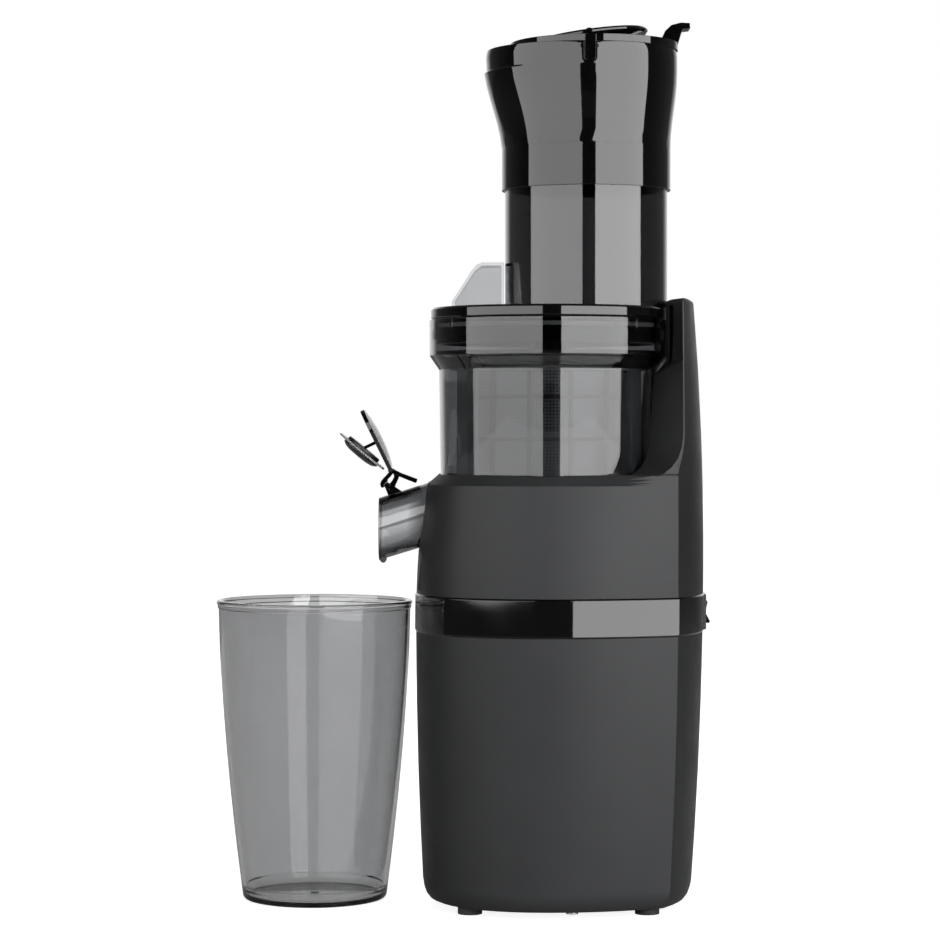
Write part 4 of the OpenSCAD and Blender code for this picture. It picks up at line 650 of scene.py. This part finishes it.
def make_lever_highlight_crown():
    """The pad is extra, a pale painted highlight on the lever's face: it rides with the lever and replaces
    no solid.
    """
    points = [crown_point(upper, row, column) for upper in (False, True)
              for row in range(CROWN_ROWS + 1) for column in range(CROWN_COLUMNS + 1)]
    width = CROWN_COLUMNS + 1
    sheet = (CROWN_ROWS + 1) * width
    faces = []
    for row in range(CROWN_ROWS):
        for column in range(CROWN_COLUMNS):
            a = row * width + column
            faces.append((a, a + width, a + width + 1, a + 1))
            faces.append((sheet + a, sheet + a + 1, sheet + a + width + 1, sheet + a + width))
    rim = (list(range(CROWN_COLUMNS)) + [row * width + CROWN_COLUMNS for row in range(CROWN_ROWS)]
           + [CROWN_ROWS * width + column for column in range(CROWN_COLUMNS, 0, -1)]
           + [row * width for row in range(CROWN_ROWS, 0, -1)])
    faces += [(a, b, sheet + b, sheet + a) for a, b in zip(rim, rim[1:] + rim[:1])]
    crown = add_mesh("lever_highlight_crown", points, faces)
    crown.data.materials.append(CROWN_HIGHLIGHT_LOOK)
    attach(crown, BODY_OF["spout_lever"])


# ---- Stage, light and camera ----
FLOOR_HALF = 8.0               # half the floor's side, in metres
FLOOR_FADE = (0.3, 1.6)        # metres from the object between which the floor's glow rises
FLOOR_GLOW = (0.9, 1.0)
# The room's brightness from -X, behind the object, to +X, where the camera stands
ROOM_STOPS = ((0.0, 1.0), (0.035, 1.0), (0.11, 0.12), (0.5, 0.03), (1.0, 0.006))
LAMP_DISTANCE = 1.7
LAMP_CENTRE = Vector((0.0, 0.0, 0.24))
PICTURE_Y = -0.039             # the picture's middle, in front of the bowl's axis
CAMERA_AT = Vector((1.425, PICTURE_Y, 0.2375))
CAMERA_AIM = Vector((0.0, PICTURE_Y, 0.216))
CAMERA_LENS = 109.1            # millimetres
CAMERA_SENSOR = 36.0


def floor_look():
    """White to the camera where no shadow falls on it, and plain white as seen through clear pieces."""
    m = Look("white_floor")
    m.give("Base Color", (0.7, 0.7, 0.7))
    m.give("Roughness", 0.6)
    m.give("Emission Color", (1, 1, 1))
    path = m.add("ShaderNodeLightPath")
    away = m.add("ShaderNodeVectorMath", operation="LENGTH")
    m.feed(away.inputs[0], m.place)
    glow = m.spread(away.outputs["Value"], *FLOOR_GLOW, *FLOOR_FADE)
    m.give("Emission Strength", m.math("MULTIPLY", path.outputs["Is Camera Ray"], glow))
    plain = m.add("ShaderNodeEmission")
    choose = m.add("ShaderNodeMixShader")
    m.feed(choose.inputs[0], path.outputs["Is Transmission Ray"])
    m.feed(choose.inputs[1], m.shader.outputs[0])
    m.feed(choose.inputs[2], plain.outputs[0])
    m.feed(m.output.inputs["Surface"], choose.outputs[0])
    return m.material


def make_floor():
    corners = [(FLOOR_HALF * x, FLOOR_HALF * y, 0) for x, y in ((-1, -1), (1, -1), (1, 1), (-1, 1))]
    mesh = bpy.data.meshes.new("floor")
    mesh.from_pydata(corners, [], [(0, 1, 2, 3)])
    floor = bpy.data.objects.new("floor", mesh)
    bpy.context.scene.collection.objects.link(floor)
    mesh.materials.append(floor_look())


def make_world():
    """White to the camera; for everything else a white backdrop behind and a dark room in front."""
    world = bpy.data.worlds.new("studio")
    bpy.context.scene.world = world
    world.use_nodes = True
    sky = Nodes(world.node_tree, "Generated")
    x, _, _ = sky.split()
    room = sky.ramp(sky.spread(x, 0.0, 1.0, -1.0, 1.0), ROOM_STOPS)
    path = sky.add("ShaderNodeLightPath")
    colour = sky.mix(path.outputs["Is Camera Ray"], room, (1, 1, 1))
    sky.feed(sky.tree.nodes["Background"].inputs["Color"], colour)


def aim_at(thing, target):
    """Turns a lamp or camera, which looks along its own -Z, to the target."""
    thing.rotation_euler = (target - thing.location).to_track_quat("-Z", "Y").to_euler()


def softbox(name, turn_from, turn_to, low, high, radiance, glossy):
    """A soft light that fills the angles turn_from..turn_to round the object, from +X towards +Y.
    A glossy one is what polished faces reflect, and the others light the matt faces."""
    turns = [math.radians(turn) for turn in (turn_from, turn_to)]
    edges = [LAMP_CENTRE + LAMP_DISTANCE * Vector((math.cos(turn), math.sin(turn), 0)) for turn in turns]
    data = bpy.data.lights.new(name, "AREA")
    data.shape = "RECTANGLE"
    data.size = (edges[1] - edges[0]).length
    data.size_y = high - low
    data.energy = radiance * math.pi * data.size * data.size_y
    lamp = bpy.data.objects.new(name, data)
    middle = (edges[0] + edges[1]) / 2
    middle.z = (low + high) / 2
    lamp.location = middle
    aim_at(lamp, Vector((LAMP_CENTRE.x, LAMP_CENTRE.y, middle.z)))
    lamp.visible_camera = False
    lamp.visible_diffuse = not glossy
    lamp.visible_glossy = lamp.visible_transmission = glossy
    bpy.context.scene.collection.objects.link(lamp)


def make_camera():
    data = bpy.data.cameras.new("camera")
    data.lens = CAMERA_LENS
    data.sensor_width = CAMERA_SENSOR
    camera = bpy.data.objects.new("camera", data)
    camera.location = CAMERA_AT
    aim_at(camera, CAMERA_AIM)
    bpy.context.scene.collection.objects.link(camera)
    bpy.context.scene.camera = camera


# Nodes that are built anew with finer forms; every other node is a smooth-shaded copy of its solid
FINE = {"juice_cup": make_cup, "spout_plug": make_plug, "spout_lever": make_lever}
for node in frame["nodes"]:
    if node in FINE:
        FINE[node]()
    else:
        dress(smooth_copy(node), node)
make_lever_highlight_crown()

make_floor()
make_world()
softbox("front_reflection", -86, -6.7, 0.1, 1.3, 3.3, glossy=True)
softbox("rear_reflection", 11, 80, 0.004, 1.3, 5.5, glossy=True)
softbox("front_fill", -50, -10, 0.1, 1.3, 0.35, glossy=False)
softbox("rear_key", 18, 62, 0.1, 1.6, 3.6, glossy=False)
softbox("far_fill", 145, 220, 0.1, 1.5, 1.3, glossy=False)
make_camera()
bpy.context.scene.view_settings.view_transform = "Standard"
